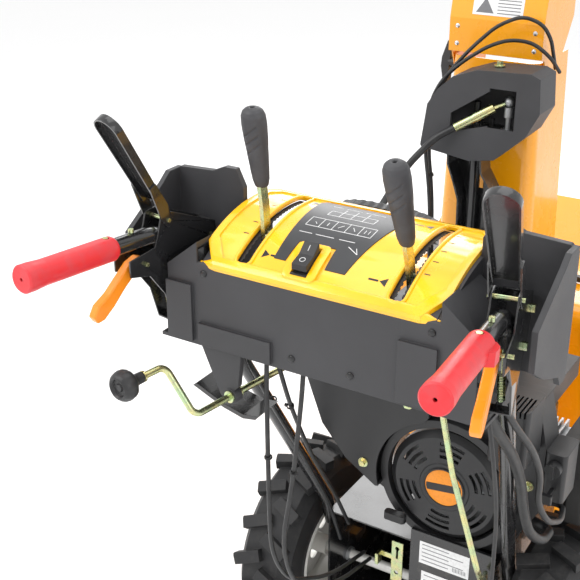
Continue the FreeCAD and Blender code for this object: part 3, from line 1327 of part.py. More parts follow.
def crank_knob():
    top = ARM_TOP - CRANK_HEADING * 72
    profile = [(-30, CRANK_ROD_R + RUN), (-30, 8), (-18, 8), (-14, 13), (-6, 20), (4, 22), (12, 19),
            (17, 12), (17, 0), (3, 0), (3, CRANK_ROD_R + RUN)]
    face = polygon([V(r, 0, -a) for a, r in profile])
    solid = face.revolve(V(0, 0, 0), V(0, 0, 1), 360)
    solid.Placement = FreeCAD.Placement(top, FreeCAD.Rotation(V(0, 0, 1), CRANK_HEADING))
    return solid


def crank_collars():
    pieces = []
    for at in (-9, 9):
        pieces.append(pipe(tuple(crank_at(at - 1.5)), tuple(crank_at(at + 1.5)), 9, CRANK_ROD_R))
    pieces.append(pipe(tuple(ARM_TOP - CRANK_HEADING * 38), tuple(ARM_TOP - CRANK_HEADING * 41), 8,
            CRANK_ROD_R))
    return Part.makeCompound(pieces)


def crank_strut():
    """Tapered plastic strut below the dash with the crank's bush."""
    blade = along_y([(-184, DASH_LOW), (-116, DASH_LOW), (-122, 782), (-144, 756), (-152, 762)],
            BUSH.y - 5, BUSH.y + 5)
    boss = rod(tuple(crank_at(-7)), tuple(crank_at(7)), 11)
    return blade.fuse(boss).cut(rod(tuple(crank_at(-60)), tuple(crank_at(60)), CRANK_ROD_R + RUN))


def cross_bracket():
    """Black curved plate below the crank rod, fixed between the handle tubes."""
    outline = [(-214, 752), (-190, 742), (-160, 730), (-126, 722), (-104, 726), (-98, 733), (-124, 729),
            (-158, 737), (-188, 749),
               (-208, 757)]
    return along_y(outline, DASH_REAR + 20, DASH_REAR + 74)


def crank_cable_points():
    end = crank_at(122)
    return [tuple(end), tuple(end + CRANK_HEADING * 40), (-112, -330, 778), (-128, -250, 812),
            (-146, -150, 856),
            (-152, -70, 884), (-144, -24, 924), (-120, -8, 972), (-78.4, 5.4, 1021.8),
            tuple(SLEEVE_START + (SLEEVE_START - SLEEVE_END).normalize() * GAP)]


def crank_cable():
    return cable(crank_cable_points(), 6.0)


def cable_sleeve():
    """Zinc sleeve on the head end of the crank cable."""
    body = rod(tuple(SLEEVE_START), tuple(SLEEVE_END), 7.5)
    collar = rod(tuple(SLEEVE_START + (SLEEVE_END - SLEEVE_START) * 0.5), tuple(SLEEVE_END), 8.5)
    joint = V(INPUT_X, INPUT_Y, JOINT_Z)
    tip = rod(tuple(SLEEVE_END), tuple(joint), 4).cut(Part.makeSphere(JOINT_R + GAP, joint))
    return fuse([body, collar, tip])


def pitch_cables():
    upper = [(-104, 78, 700), (-106, 78, 800), (-111, 77, 900), (-123, 75, 985), (-114, 73, 1066),
            (-95, 77, 1114), (-60, 90, 1160),
             (-20, 102, 1200), (19, 112, 1217), (52, 118, 1205), (64, 130, 1180), (66, 160, 1126)]
    lower = [(-104, 68, 700), (-106, 68, 800), (-112, 67, 900), (-125, 64, 985), (-117, 62, 1066),
            (-99, 64, 1106), (-66, 72, 1140),
             (-26, 84, 1168), (4, 96, 1179), (40, 106, 1177), (68, 124, 1152), (76, 154, 1122)]
    return Part.makeCompound([cable(upper, 3.2), cable(lower, 3.2)])


def left_cables():
    routes = [
        [(-92, -500, 842), (-90, -505, 790), (-84, -512, 640), (-78, -515, 500), (-75, -470, 420),
                (-80, -330, 330), (-84, -194, 290)],
        [(-28, -505, 842), (-28, -510, 790), (-40, -515, 640), (-60, -515, 520), (-62, -470, 410),
                (-66, -330, 320), (-72, -194, 280)],
        [(-98, -474, 842), (-99, -462, 800), (-106, -415, 700), (-118, -330, 560), (-122, -240, 430),
                (-118, -194, 340)],
        [(-142, -488, 842), (-144, -470, 790), (-148, -400, 680), (-146, -310, 540), (-140, -230, 400),
                (-134, -194, 300)],
    ]
    return Part.makeCompound([cable(route, 3.5) for route in routes])


def right_cables():
    loom = [(222, -470, 830), (230, -440, 780), (238, -390, 720), (236, -330, 640), (232, -290, 560),
            (236, -262, 500),
            (246, -220, 462), (240, -160, 444), (207, -150, 444)]
    lead = [(240, -450, 826), (250, -420, 780), (262, -370, 720), (262, -320, 650), (252, -290, 580),
            (262, -260, 530),
            (264, -190, 490), (248, -132, 478), (224, -130, 476)]
    shift = [(232, -480, 826), (240, -470, 760), (246, -450, 660), (244, -440, 560), (236, -420, 440),
             (205, -400, 340), (164, -340, 270), (130, -262, 240), (120, -222, 232), (120, -194, 230)]
    return Part.makeCompound([cable(loom, 8.0), cable(lead, 5.0), cable(shift, 3.0)])


def speed_rod():
    """Zinc rod from the speed lever's arm down to the drive's shift arm."""
    points = [(132, -405, 842), (138, -400, 748), (157, -398, 660), (204, -396, 512), (196, -330, 420),
            (150, -200, 345)]
    return bent_rod(points, SPEED_BEND_R, SPEED_ROD_R)


# ---------------------------------------------------------------- small parts
def cleanout_tool():
    """Plastic shovel clipped on the housing's top."""
    blade = box(-300, -220, 470, 520, HOUSING_TOP + 6, HOUSING_TOP + 9)
    stem = box(-220, 60, 488, 502, HOUSING_TOP + 4, HOUSING_TOP + 16)
    return blade.fuse(stem)


def cleanout_clips():
    clips = []
    for x in (-190, 30):
        base = box(x, x + 14, 474, 516, HOUSING_TOP - 1, HOUSING_TOP + 3.6)
        posts = [box(x, x + 14, y, y + 7.6, HOUSING_TOP, HOUSING_TOP + 20) for y in (480, 502.4)]
        clips.append(fuse([base] + posts))
    return Part.makeCompound(clips)


def auger_housing():
    return housing_shell().fuse(cleanout_clips())


def skid_shoes():
    return Part.makeCompound([skid_shoe(-1), skid_shoe(1)])


def zinc_fasteners():
    """Bolts, screws, rivets, the index bracket and the cable sleeve: everything plated with zinc."""
    return Part.makeCompound([housing_fasteners(), handle_fasteners(), bracket_pins(), engine_bolts(),
            head_bolt(),
                              index_bracket(), cable_sleeve()])


def bearings():
    return Part.makeCompound([auger_bearings(), impeller_bearing(), axle_bushes()])


def augers():
    return Part.makeCompound([auger_half(-1), auger_half(1)])


def driven_impeller():
    return Part.makeCompound([impeller(), impeller_pulley()])


def wheel(side):
    return Part.makeCompound([wheel_rim(side), half_axle(side)])


def crankshaft():
    return Part.makeCompound([engine_pulley(), flywheel()])


def engine_covers():
    return Part.makeCompound([shroud_wing(), intake_box(), control_box()])


def guarded_muffler():
    return Part.makeCompound([muffler(), muffler_guard()])


def chute_post():
    return Part.makeCompound([chute_support(), chute_slide()])


def handle_tubes():
    return Part.makeCompound([handle_tube(-1), handle_tube(1)])


def grips():
    return Part.makeCompound([grip(-1), grip(1)])


def handle_brackets():
    return Part.makeCompound([handle_bracket(-1), handle_bracket(1), cross_bracket()])


def dash_internals():
    return Part.makeCompound([lever_guides(), lever_shaft(), switch_body()])


def crank_assembly():
    return Part.makeCompound([crank_handle(), crank_collars()])


def deflector_clamp():
    return Part.makeCompound([deflector_knob(), deflector_pin()])


def control_cables():
    return Part.makeCompound([left_cables(), right_cables()])


PARTS = {
    "auger_housing": auger_housing,
    "scraper_blade": scraper_blade,
    "skid_shoes": skid_shoes,
    "zinc_fasteners": zinc_fasteners,
    "bearings": bearings,
    "auger_gearbox": auger_gearbox,
    "augers": augers,
    "auger_shaft": auger_shaft,
    "impeller": driven_impeller,
    "chassis": chassis,
    "rear_panel": rear_panel,
    "wheel_left": lambda: wheel(-1),
    "wheel_right": lambda: wheel(1),
    "tyre_left": lambda: tyre(-1),
    "tyre_right": lambda: tyre(1),
    "crankshaft": crankshaft,
    "drive_belt": drive_belt,
    "belt_cover": belt_cover,
    "engine_block": engine_block,
    "engine_shroud": engine_shroud,
    "engine_covers": engine_covers,
    "recoil_cover": recoil_cover,
    "starter_grip": starter_grip,
    "fuel_tank": fuel_tank,
    "fuel_cap": fuel_cap,
    "muffler": guarded_muffler,
    "choke_knob": choke_knob,
    "throttle_lever": throttle_lever,
    "chute_support": chute_post,
    "drive_shaft": drive_shaft,
    "head_idler": head_idler,
    "head_input": head_input,
    "head_cover": head_cover,
    "chute": chute,
    "chute_gear": chute_gear,
    "deflector": deflector,
    "deflector_knob": deflector_clamp,
    "handle_tubes": handle_tubes,
    "grips": grips,
    "handle_brackets": handle_brackets,
    "clutch_lever_left": lambda: clutch_lever(-1),
    "clutch_lever_right": lambda: clutch_lever(1),
    "trigger_left": lambda: steering_trigger(-1),
    "trigger_right": lambda: steering_trigger(1),
    "dash_housing": dash_housing,
    "dash_panel": dash_panel,
    "dash_insert": dash_insert,
    "dash_internals": dash_internals,
    "switch_rocker": switch_rocker,
    "pitch_lever": lambda: shift_lever(-1, PITCH_LOW, PITCH_TOP),
    "pitch_knob": lambda: lever_knob(-1, PITCH_LOW, PITCH_TOP),
    "speed_lever": lambda: shift_lever(1, SPEED_LOW, SPEED_TOP),
    "speed_knob": lambda: lever_knob(1, SPEED_LOW, SPEED_TOP),
    "speed_rod": speed_rod,
    "crank_handle": crank_assembly,
    "crank_knob": crank_knob,
    "crank_cable": crank_cable,
    "pitch_cables": pitch_cables,
    "control_cables": control_cables,
    "cleanout_tool": cleanout_tool,
}


def main():
    os.makedirs("parts", exist_ok=True)
    for name, build in PARTS.items():
        build().exportStep(f"parts/{name}.step")


main()
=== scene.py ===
"""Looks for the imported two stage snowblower: materials, small surface details, floor, light and camera.

Every object is in metres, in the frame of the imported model: +X operator's right, +Y forward, +Z up.
Each group of details is one operator, and main() runs them in order.
"""

import json
import math

import bmesh
import bpy
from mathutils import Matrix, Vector


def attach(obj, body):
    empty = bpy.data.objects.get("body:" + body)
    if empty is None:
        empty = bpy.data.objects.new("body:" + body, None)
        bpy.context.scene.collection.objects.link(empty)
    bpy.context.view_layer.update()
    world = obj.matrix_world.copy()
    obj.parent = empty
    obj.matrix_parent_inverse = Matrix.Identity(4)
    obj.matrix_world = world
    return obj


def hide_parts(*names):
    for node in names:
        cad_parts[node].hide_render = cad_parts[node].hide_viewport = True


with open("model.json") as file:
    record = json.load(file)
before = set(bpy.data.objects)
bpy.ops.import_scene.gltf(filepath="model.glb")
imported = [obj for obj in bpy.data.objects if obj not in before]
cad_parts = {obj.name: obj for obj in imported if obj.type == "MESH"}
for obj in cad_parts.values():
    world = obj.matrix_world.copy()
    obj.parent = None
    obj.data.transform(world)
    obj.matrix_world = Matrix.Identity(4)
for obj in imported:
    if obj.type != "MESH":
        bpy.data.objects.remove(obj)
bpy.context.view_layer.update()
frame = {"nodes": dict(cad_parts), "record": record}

bl_info = {
    "name": "Snowblower looks",
    "blender": (4, 5, 0),
    "version": (1, 0, 0),
    "location": "View3D > Sidebar > Snowblower",
    "description": "Materials and surface details on the packed snowblower",
    "category": "Object",
}

MACHINE = "machine"
ACROSS = Vector((1, 0, 0))
FORWARD = Vector((0, 1, 0))
REAR = Vector((0, -1, 0))
UP = Vector((0, 0, 1))

# Places that several pieces share, in metres
LEVER_X = 0.115
SLOT_HALF = 0.0125
AXLE_Y = -0.1125
AXLE_Z = 0.203


# ---------------------------------------------------------------- shader sockets
class Socket:
    """An output socket of a node tree that takes part in arithmetic."""

    def __init__(self, graph, out):
        self.graph = graph
        self.out = out

    def __add__(self, other):
        return self.graph.math("ADD", self, other)

    def __radd__(self, other):
        return self.graph.math("ADD", other, self)

    def __sub__(self, other):
        return self.graph.math("SUBTRACT", self, other)

    def __rsub__(self, other):
        return self.graph.math("SUBTRACT", other, self)

    def __mul__(self, other):
        return self.graph.math("MULTIPLY", self, other)

    def __rmul__(self, other):
        return self.graph.math("MULTIPLY", other, self)

    def between(self, low, high):
        """0 below low, 1 above high, and a smooth step between them."""
        node = self.graph.add("ShaderNodeMapRange", interpolation_type="SMOOTHSTEP")
        self.graph.feed(node.inputs["Value"], self)
        node.inputs["From Min"].default_value = low
        node.inputs["From Max"].default_value = high
        return Socket(self.graph, node.outputs["Result"])


class Graph:
    """A material's node tree with a Principled BSDF."""

    def __init__(self, name):
        self.material = bpy.data.materials.new(name)
        self.material.use_nodes = True
        self.tree = self.material.node_tree
        self.shader = self.tree.nodes["Principled BSDF"]
        self.coordinate = self.add("ShaderNodeTexCoord").outputs["Object"]

    def add(self, kind, **settings):
        node = self.tree.nodes.new(kind)
        for key, value in settings.items():
            setattr(node, key, value)
        return node

    def feed(self, target, value):
        if isinstance(value, Socket):
            self.tree.links.new(value.out, target)
        elif isinstance(value, (tuple, list)) and len(value) == 3:
            target.default_value = (*value, 1.0)
        else:
            target.default_value = value

    def math(self, operation, a, b):
        node = self.add("ShaderNodeMath", operation=operation)
        self.feed(node.inputs[0], a)
        self.feed(node.inputs[1], b)
        return Socket(self, node.outputs[0])

    def noise(self, size, detail=3.0, rough=0.5, stretch=None):
        """Noise whose grains are about the given size in metres."""
        node = self.add("ShaderNodeTexNoise")
        node.inputs["Scale"].default_value = 1.0 / size
        node.inputs["Detail"].default_value = detail
        node.inputs["Roughness"].default_value = rough
        self.tree.links.new(self.stretched(stretch), node.inputs["Vector"])
        return Socket(self, node.outputs["Fac"])

    def stretched(self, stretch):
        """The object's coordinates, drawn out along its axes where a stretch is given."""
        if stretch is None:
            return self.coordinate
        node = self.add("ShaderNodeMapping")
        self.tree.links.new(self.coordinate, node.inputs["Vector"])
        node.inputs["Scale"].default_value = stretch
        return node.outputs["Vector"]

    def cells(self, size):
        """Distance to the middle of rounded cells of about the given size in metres."""
        node = self.add("ShaderNodeTexVoronoi")
        node.inputs["Scale"].default_value = 1.0 / size
        self.tree.links.new(self.coordinate, node.inputs["Vector"])
        return Socket(self, node.outputs["Distance"])

    def blend(self, factor, a, b):
        node = self.add("ShaderNodeMix", data_type="RGBA")
        self.feed(node.inputs["Factor"], factor)
        self.feed(node.inputs[6], a)
        self.feed(node.inputs[7], b)
        return Socket(self, node.outputs[2])

    def height(self):
        """Height above the ground in metres."""
        node = self.add("ShaderNodeSeparateXYZ")
        self.tree.links.new(self.coordinate, node.inputs[0])
        return Socket(self, node.outputs["Z"])

    def edges(self, radius):
        """0 on flat faces and up to 1 on sharp edges, from the softened normal."""
        bevel = self.add("ShaderNodeBevel", samples=4)
        bevel.inputs["Radius"].default_value = radius
        geometry = self.add("ShaderNodeNewGeometry")
        dot = self.add("ShaderNodeVectorMath", operation="DOT_PRODUCT")
        self.tree.links.new(bevel.outputs["Normal"], dot.inputs[0])
        self.tree.links.new(geometry.outputs["Normal"], dot.inputs[1])
        return 1.0 - Socket(self, dot.outputs["Value"])

    def relief(self, height, strength, distance, soft_edge=0.0):
        bump = self.add("ShaderNodeBump")
        bump.inputs["Strength"].default_value = strength
        bump.inputs["Distance"].default_value = distance
        self.feed(bump.inputs["Height"], height)
        if soft_edge:
            bevel = self.add("ShaderNodeBevel", samples=4)
            bevel.inputs["Radius"].default_value = soft_edge
            self.tree.links.new(bevel.outputs["Normal"], bump.inputs["Normal"])
        self.tree.links.new(bump.outputs["Normal"], self.shader.inputs["Normal"])

    def surface(self, color, rough, metal=0.0, coat=0.0, coat_rough=0.05):
        self.feed(self.shader.inputs["Base Color"], color)
        self.feed(self.shader.inputs["Roughness"], rough)
        self.feed(self.shader.inputs["Metallic"], metal)
        self.feed(self.shader.inputs["Coat Weight"], coat)
        self.shader.inputs["Coat Roughness"].default_value = coat_rough
        return self.material


# ---------------------------------------------------------------- materials
def paint(name, color, rough, wear, under, peel=0.12):
    """Sprayed enamel: faint orange peel, slow colour drift, dust low down and worn sharp edges."""
    g = Graph(name)
    drift = g.noise(0.19, 2.0).between(0.3, 0.7)
    shade = g.blend(drift, tuple(c * 0.93 for c in color), color)
    dust = g.noise(0.035, 6.0, 0.65).between(0.5, 0.74) * (1.0 - g.height().between(0.05, 0.5)) * 0.35
    shade = g.blend(dust, shade, (0.33, 0.30, 0.26))
    chips = g.edges(0.0012).between(0.06, 0.22) * g.noise(0.006, 4.0).between(0.52, 0.60) * wear
    shade = g.blend(chips, shade, under)
    gloss = rough + g.noise(0.05, 5.0).between(0.35, 0.75) * 0.10 + dust * 0.5 + chips * 0.3
    g.relief(g.noise(0.0045, 2.0) + chips * -0.6, peel, 0.0006, 0.0012)
    return g.surface(shade, gloss, 0.0, 0.6, 0.06)


def moulded(name, color, rough, grain, depth, scuff=0.25, coat=0.0):
    """Moulded plastic: fine spark-eroded grain, pale rubbed edges and faint handling marks."""
    g = Graph(name)
    patch = g.noise(0.08, 4.0).between(0.35, 0.7)
    shade = g.blend(patch, color, tuple(c * 1.18 + 0.002 for c in color))
    rub = g.edges(0.0015).between(0.05, 0.3) * g.noise(0.012, 4.0).between(0.4, 0.65) * scuff
    shade = g.blend(rub, shade, tuple(min(1.0, c * 1.7 + 0.03) for c in color))
    gloss = rough + patch * 0.08 + g.noise(0.004, 3.0) * 0.06 - rub * 0.15
    g.relief(g.cells(grain) * 0.7 + g.noise(grain * 0.7, 2.0) * 0.6, depth, 0.0004, 0.0014)
    return g.surface(shade, gloss, 0.0, coat, 0.1)


def rubber(name, color, rough, speck, scuffed):
    """Soft rubber: matt bloom, fine pores and rubbed patches."""
    g = Graph(name)
    bloom = g.noise(0.03, 5.0, 0.6).between(0.4, 0.7)
    shade = g.blend(bloom, color, scuffed)
    gloss = rough + bloom * 0.12 - g.noise(0.011, 2.0).between(0.5, 0.8) * 0.1
    g.relief(g.noise(speck, 4.0) + g.cells(speck * 1.6) * 0.4, 0.25, 0.0004, 0.0016)
    return g.surface(shade, gloss)


def tyre_compound():
    """Tread rubber with road dust and grey worn edges."""
    g = Graph("tyre compound")
    dust = g.noise(0.02, 6.0, 0.7).between(0.45, 0.75) * 0.5
    shade = g.blend(dust, (0.010, 0.010, 0.011), (0.055, 0.052, 0.048))
    worn = g.edges(0.003).between(0.1, 0.5) * 0.35
    shade = g.blend(worn, shade, (0.09, 0.088, 0.085))
    g.relief(g.noise(0.002, 4.0) + g.noise(0.012, 3.0) * 0.7, 0.4, 0.0006, 0.002)
    return g.surface(shade, 0.62 + dust * 0.3)


def zinc():
    """Yellow passivated zinc with its green and pink drift."""
    g = Graph("yellow zinc")
    drift = g.noise(0.022, 3.0).between(0.3, 0.7)
    shade = g.blend(drift, (0.66, 0.60, 0.28), (0.45, 0.58, 0.34))
    shade = g.blend(g.noise(0.009, 4.0).between(0.55, 0.75) * 0.6, shade, (0.66, 0.44, 0.36))
    dull = g.noise(0.005, 5.0).between(0.5, 0.7)
    shade = g.blend(dull * 0.3, shade, (0.30, 0.29, 0.24))
    g.relief(g.noise(0.0012, 3.0), 0.12, 0.0003, 0.0006)
    return g.surface(shade, 0.26 + dull * 0.16, 1.0)


def bare_metal(name, color, rough, grain, stretch=None, metal=1.0):
    """Unpainted or heat proof metal: stains and a fine grain."""
    g = Graph(name)
    stain = g.noise(0.03, 5.0, 0.6).between(0.45, 0.72)
    shade = g.blend(stain * 0.6, color, tuple(c * 0.6 for c in color))
    g.relief(g.noise(grain, 4.0, 0.6, stretch), 0.3, 0.0004, 0.0010)
    return g.surface(shade, rough + stain * 0.15, metal)


def printed(name, color, rough=0.42):
    """Ink or film on a label: a little uneven, with dull specks."""
    g = Graph(name)
    tone = g.noise(0.004, 4.0).between(0.4, 0.7)
    shade = g.blend(tone, color, tuple(c * 0.9 for c in color))
    g.relief(g.noise(0.0015, 2.0), 0.05, 0.0002)
    return g.surface(shade, rough + tone * 0.06)


def material_set(looks):
    """One material for each slot of the record, and a few for the added details."""
    steel = (0.42, 0.41, 0.39)
    return {
        "yellow_paint": paint("yellow enamel", tuple(looks.enamel), 0.24, 0.8, (0.20, 0.17, 0.14)),
        "black_paint": paint("black enamel", (0.012, 0.012, 0.013), 0.20, 0.7, (0.30, 0.29, 0.28), 0.10),
        "wheel_paint": paint("wheel enamel", tuple(looks.rims), 0.28, 0.9, (0.35, 0.30, 0.26)),
        "muffler_paint": bare_metal("heat proof black", (0.035, 0.034, 0.033), 0.62, 0.0015, None, 0.2),
        "cast_alloy": bare_metal("cast alloy", (0.50, 0.51, 0.52), 0.46, 0.0016, None, 0.9),
        "dark_steel": paint("dark enamel on steel", (0.020, 0.020, 0.021), 0.34, 1.0, steel),
        "zinc_plate": zinc(),
        "bright_steel": bare_metal("ground steel", (0.56, 0.56, 0.56), 0.24, 0.0015, (1.0, 14.0, 14.0)),
        "tyre_rubber": tyre_compound(),
        "cable_sheath": rubber("cable sheath", (0.011, 0.011, 0.012), 0.40, 0.0012, (0.03, 0.03, 0.03)),
        "black_plastic": moulded("black moulding", (0.016, 0.016, 0.017), 0.36, 0.0011, 0.22),
        "charcoal_plastic": moulded("charcoal moulding", (0.034, 0.034, 0.037), 0.47, 0.0009, 0.45, 0.30),
        "red_rubber": rubber("red rubber", tuple(looks.grips), 0.38, 0.0010, (0.62, 0.045, 0.055)),
        "orange_plastic": moulded("orange moulding", (0.93, 0.27, 0.004), 0.30, 0.0012, 0.10, 0.2, 0.3),
        "yellow_plastic": moulded("yellow moulding", tuple(looks.panel), 0.17, 0.0020, 0.04, 0.12, 0.7),
        "legend_plastic": moulded("legend film", (0.030, 0.031, 0.034), 0.34, 0.0008, 0.12),
        "grey_rubber": rubber("soft grey rubber", (0.040, 0.040, 0.044), 0.56, 0.0008, (0.062, 0.062, 0.066)),
        "white_print": printed("white print", (0.80, 0.80, 0.80)),
        "grey_print": printed("grey print", (0.16, 0.16, 0.17)),
        "black_print": printed("black print", (0.012, 0.012, 0.013), 0.3),
        "orange_print": printed("orange film", (0.92, 0.30, 0.01), 0.28),
        "lamp_gloss": moulded("lamp gloss", (0.012, 0.012, 0.013), 0.12, 0.0020, 0.03, 0.1, 0.6),
        "silver_bolt": bare_metal("bright zinc", (0.66, 0.67, 0.69), 0.22, 0.001),
    }


MATERIALS = {}


# ---------------------------------------------------------------- mesh tools
def finish_mesh(name, bm, material, body, smooth_angle=35.0, bevel=0.0):
    """Turns a bmesh into a piece with its material, softened edges and body."""
    bmesh.ops.recalc_face_normals(bm, faces=bm.faces)
    mesh = bpy.data.meshes.new(name)
    bm.to_mesh(mesh)
    bm.free()
    obj = bpy.data.objects.new(name, mesh)
    bpy.context.scene.collection.objects.link(obj)
    mesh.materials.append(MATERIALS[material])
    for polygon in mesh.polygons:
        polygon.use_smooth = True
    mesh.set_sharp_from_angle(angle=math.radians(smooth_angle))
    if bevel:
        modifier = obj.modifiers.new("soft edges", "BEVEL")
        modifier.width = bevel
        modifier.segments = 2
        modifier.limit_method = "ANGLE"
        modifier.angle_limit = math.radians(40)
    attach(obj, body)
    return obj


def basis(heading):
    """Two unit vectors across the heading."""
    heading = heading.normalized()
    side = heading.cross(UP)
    if side.length < 0.05:
        side = heading.cross(ACROSS)
    side.normalize()
    return side, heading.cross(side).normalized()


def circle(centre, side, up, radius, count):
    """Points round a circle that lies in the plane of two directions."""
    return [centre + side * (radius * math.cos(a)) + up * (radius * math.sin(a))
            for a in (2 * math.pi * k / count for k in range(count))]


def closed(points):
    """The points with the first one again at the end."""
    return points + points[:1]


def oblong(left, right, low, high):
    """The four corners of a rectangle, as pairs."""
    return [(left, low), (right, low), (right, high), (left, high)]


def loft(bm, rings):
    """Closed skin over rings of points with the same count."""
    rows = [[bm.verts.new(p) for p in ring] for ring in rings]
    count = len(rows[0])
    for low, high in zip(rows, rows[1:]):
        for k in range(count):
            n = (k + 1) % count
            bm.faces.new((low[k], low[n], high[n], high[k]))
    bm.faces.new(rows[0][::-1])
    bm.faces.new(rows[-1])


def turned(bm, origin, heading, profile, steps=48):
    """Solid of revolution: profile rows are (distance along, radius)."""
    side, up = basis(heading)
    heading = heading.normalized()
    loft(bm, [circle(origin + heading * along, side, up, radius, steps) for along, radius in profile])


def tube(bm, points, radius, sides=12):
    """Round tube through the points, with its rings carried along without twist."""
    points = [Vector(p) for p in points]
    heading = (points[1] - points[0]).normalized()
    side, up = basis(heading)
    rings = []
    for k, p in enumerate(points):
        ahead = points[min(k + 1, len(points) - 1)] - points[max(k - 1, 0)]
        ahead.normalize()
        turn = heading.rotation_difference(ahead)
        side, up, heading = turn @ side, turn @ up, ahead
        rings.append(circle(p, side, up, radius, sides))
    loft(bm, rings)


def slab(bm, corners, normal, thickness):
    """Flat polygon with a thickness along its normal."""
    low = [bm.verts.new(c) for c in corners]
    high = [bm.verts.new(Vector(c) + normal * thickness) for c in corners]
    bm.faces.new(low)
    bm.faces.new(high[::-1])
    for k in range(len(corners)):
        n = (k + 1) % len(corners)
        bm.faces.new((low[k], high[k], high[n], low[n]))


def coil_points(start, end, radius, turns, steps=14):
    """Points along a coil spring between two places."""
    start = Vector(start)
    axis = Vector(end) - start
    side, up = basis(axis)
    total = int(turns * steps)
    points = []
    for k in range(total + 1):
        a = 2 * math.pi * k / steps
        point = start + axis * (k / total) + side * (radius * math.cos(a))
        points.append(point + up * (radius * math.sin(a)))
    return points


def circle_through(a, b, c):
    """Centre and radius of the circle through three (y, z) points."""
    (ay, az), (by, bz), (cy, cz) = a, b, c
    double_area = 2 * (ay * (bz - cz) + by * (cz - az) + cy * (az - bz))
    square_a, square_b, square_c = ay ** 2 + az ** 2, by ** 2 + bz ** 2, cy ** 2 + cz ** 2
    y = (square_a * (bz - cz) + square_b * (cz - az) + square_c * (az - bz)) / double_area
    z = (square_a * (cy - by) + square_b * (ay - cy) + square_c * (by - ay)) / double_area
    return y, z, math.hypot(ay - y, az - z)


# The arc of the dash's top, from its rear edge over its middle to its front edge
CROWN_Y, CROWN_Z, CROWN_RADIUS = circle_through((-0.5385, 0.962), (-0.462, 1.004), (-0.341, 1.012))


def crown_height(y, lift):
    """Height of the dash's curved top at a place y, raised by a lift, all in metres."""
    return CROWN_Z + math.sqrt(CROWN_RADIUS ** 2 - (y - CROWN_Y) ** 2) + lift


def crown_strip(bm, a, b, width, lift, thick=0.00025, steps=6):
    """Thin printed stroke on the dash top from a to b, given as (x, y)."""
    a, b = Vector((*a, 0)), Vector((*b, 0))
    across = Vector((-(b - a).y, (b - a).x, 0)).normalized() * (width / 2)
    rings = []
    for k in range(steps + 1):
        p = a + (b - a) * (k / steps)
        ring = []
        for offset, up in ((-1, 0), (1, 0), (1, thick), (-1, thick)):
            q = p + across * offset
            ring.append(Vector((q.x, q.y, crown_height(q.y, lift) + up)))
        rings.append(ring)
    loft(bm, rings)


def crown_patch(bm, corners, lift, thick=0.0003):
    """Thin flat piece on the dash top, from its (x, y) corners."""
    low = [bm.verts.new((x, y, crown_height(y, lift))) for x, y in corners]
    high = [bm.verts.new((x, y, crown_height(y, lift) + thick)) for x, y in corners]
    bm.faces.new(low[::-1])
    bm.faces.new(high)
    for k in range(len(corners)):
        n = (k + 1) % len(corners)
        bm.faces.new((low[k], low[n], high[n], high[k]))


# ---------------------------------------------------------------- settings of the details
class KnobSettings(bpy.types.PropertyGroup):
    groove_depth: bpy.props.FloatProperty(
        name="Groove depth", description="How deep the slanting grooves are", default=0.0017, unit="LENGTH")
    groove_width: bpy.props.FloatProperty(
        name="Groove width", description="How wide each groove is", default=0.0042, unit="LENGTH")
    groove_lean: bpy.props.FloatProperty(
        name="Groove lean", description="How far a groove climbs for each radius across", default=0.75)
    flatness: bpy.props.FloatProperty(
        name="Flatness", description="Depth of the knob as a share of its width", default=0.86)


class LegendSettings(bpy.types.PropertyGroup):
    stroke: bpy.props.FloatProperty(
        name="Stroke width", description="Width of the printed strokes", default=0.0009, unit="LENGTH")
    lift: bpy.props.FloatProperty(
        name="Lift above plate", description="Height of the strokes over the dash's arc", default=0.0012,
        unit="LENGTH")


class PaintSettings(bpy.types.PropertyGroup):
    enamel: bpy.props.FloatVectorProperty(
        name="Body enamel", description="The yellow paint of the body",
        default=(0.93, 0.37, 0.003), subtype="COLOR")
    rims: bpy.props.FloatVectorProperty(
        name="Rim enamel", description="Paint of the wheel rims", default=(0.78, 0.77, 0.73), subtype="COLOR")
    grips: bpy.props.FloatVectorProperty(
        name="Grips", description="Rubber of the handle grips", default=(0.70, 0.022, 0.030), subtype="COLOR")
    panel: bpy.props.FloatVectorProperty(
        name="Dash panel", description="The yellow plastic of the dash", default=(0.97, 0.50, 0.003),
        subtype="COLOR")


class TrimSettings(bpy.types.PropertyGroup):
    tie_radius: bpy.props.FloatProperty(
        name="Cable tie radius", description="Radius of the loop of a cable tie", default=0.0052,
        unit="LENGTH")
    spring_wire: bpy.props.FloatProperty(
        name="Spring wire radius", description="Radius of the springs' wire", default=0.0007, unit="LENGTH")
    spring_turns: bpy.props.IntProperty(
        name="Spring turns", description="Turns of each return spring", default=16)


class StudioSettings(bpy.types.PropertyGroup):
    azimuth: bpy.props.FloatProperty(
        name="Camera azimuth", description="Degrees round the machine, from straight behind", default=31.85)
    elevation: bpy.props.FloatProperty(
        name="Camera elevation", description="Degrees above the horizon", default=24.25)
    place: bpy.props.FloatVectorProperty(
        name="Camera place", description="Where the camera stands", default=(0.651, -1.6345, 1.540),
        subtype="TRANSLATION")
    lens: bpy.props.FloatProperty(
        name="Lens", description="Focal length in millimetres", default=67.4)
    world: bpy.props.FloatProperty(
        name="Sky strength", description="Brightness of the plain sky", default=1.0)


SETTINGS = {"knob_looks": KnobSettings, "legend_looks": LegendSettings, "paint_looks": PaintSettings,
            "trim_looks": TrimSettings, "studio_looks": StudioSettings}


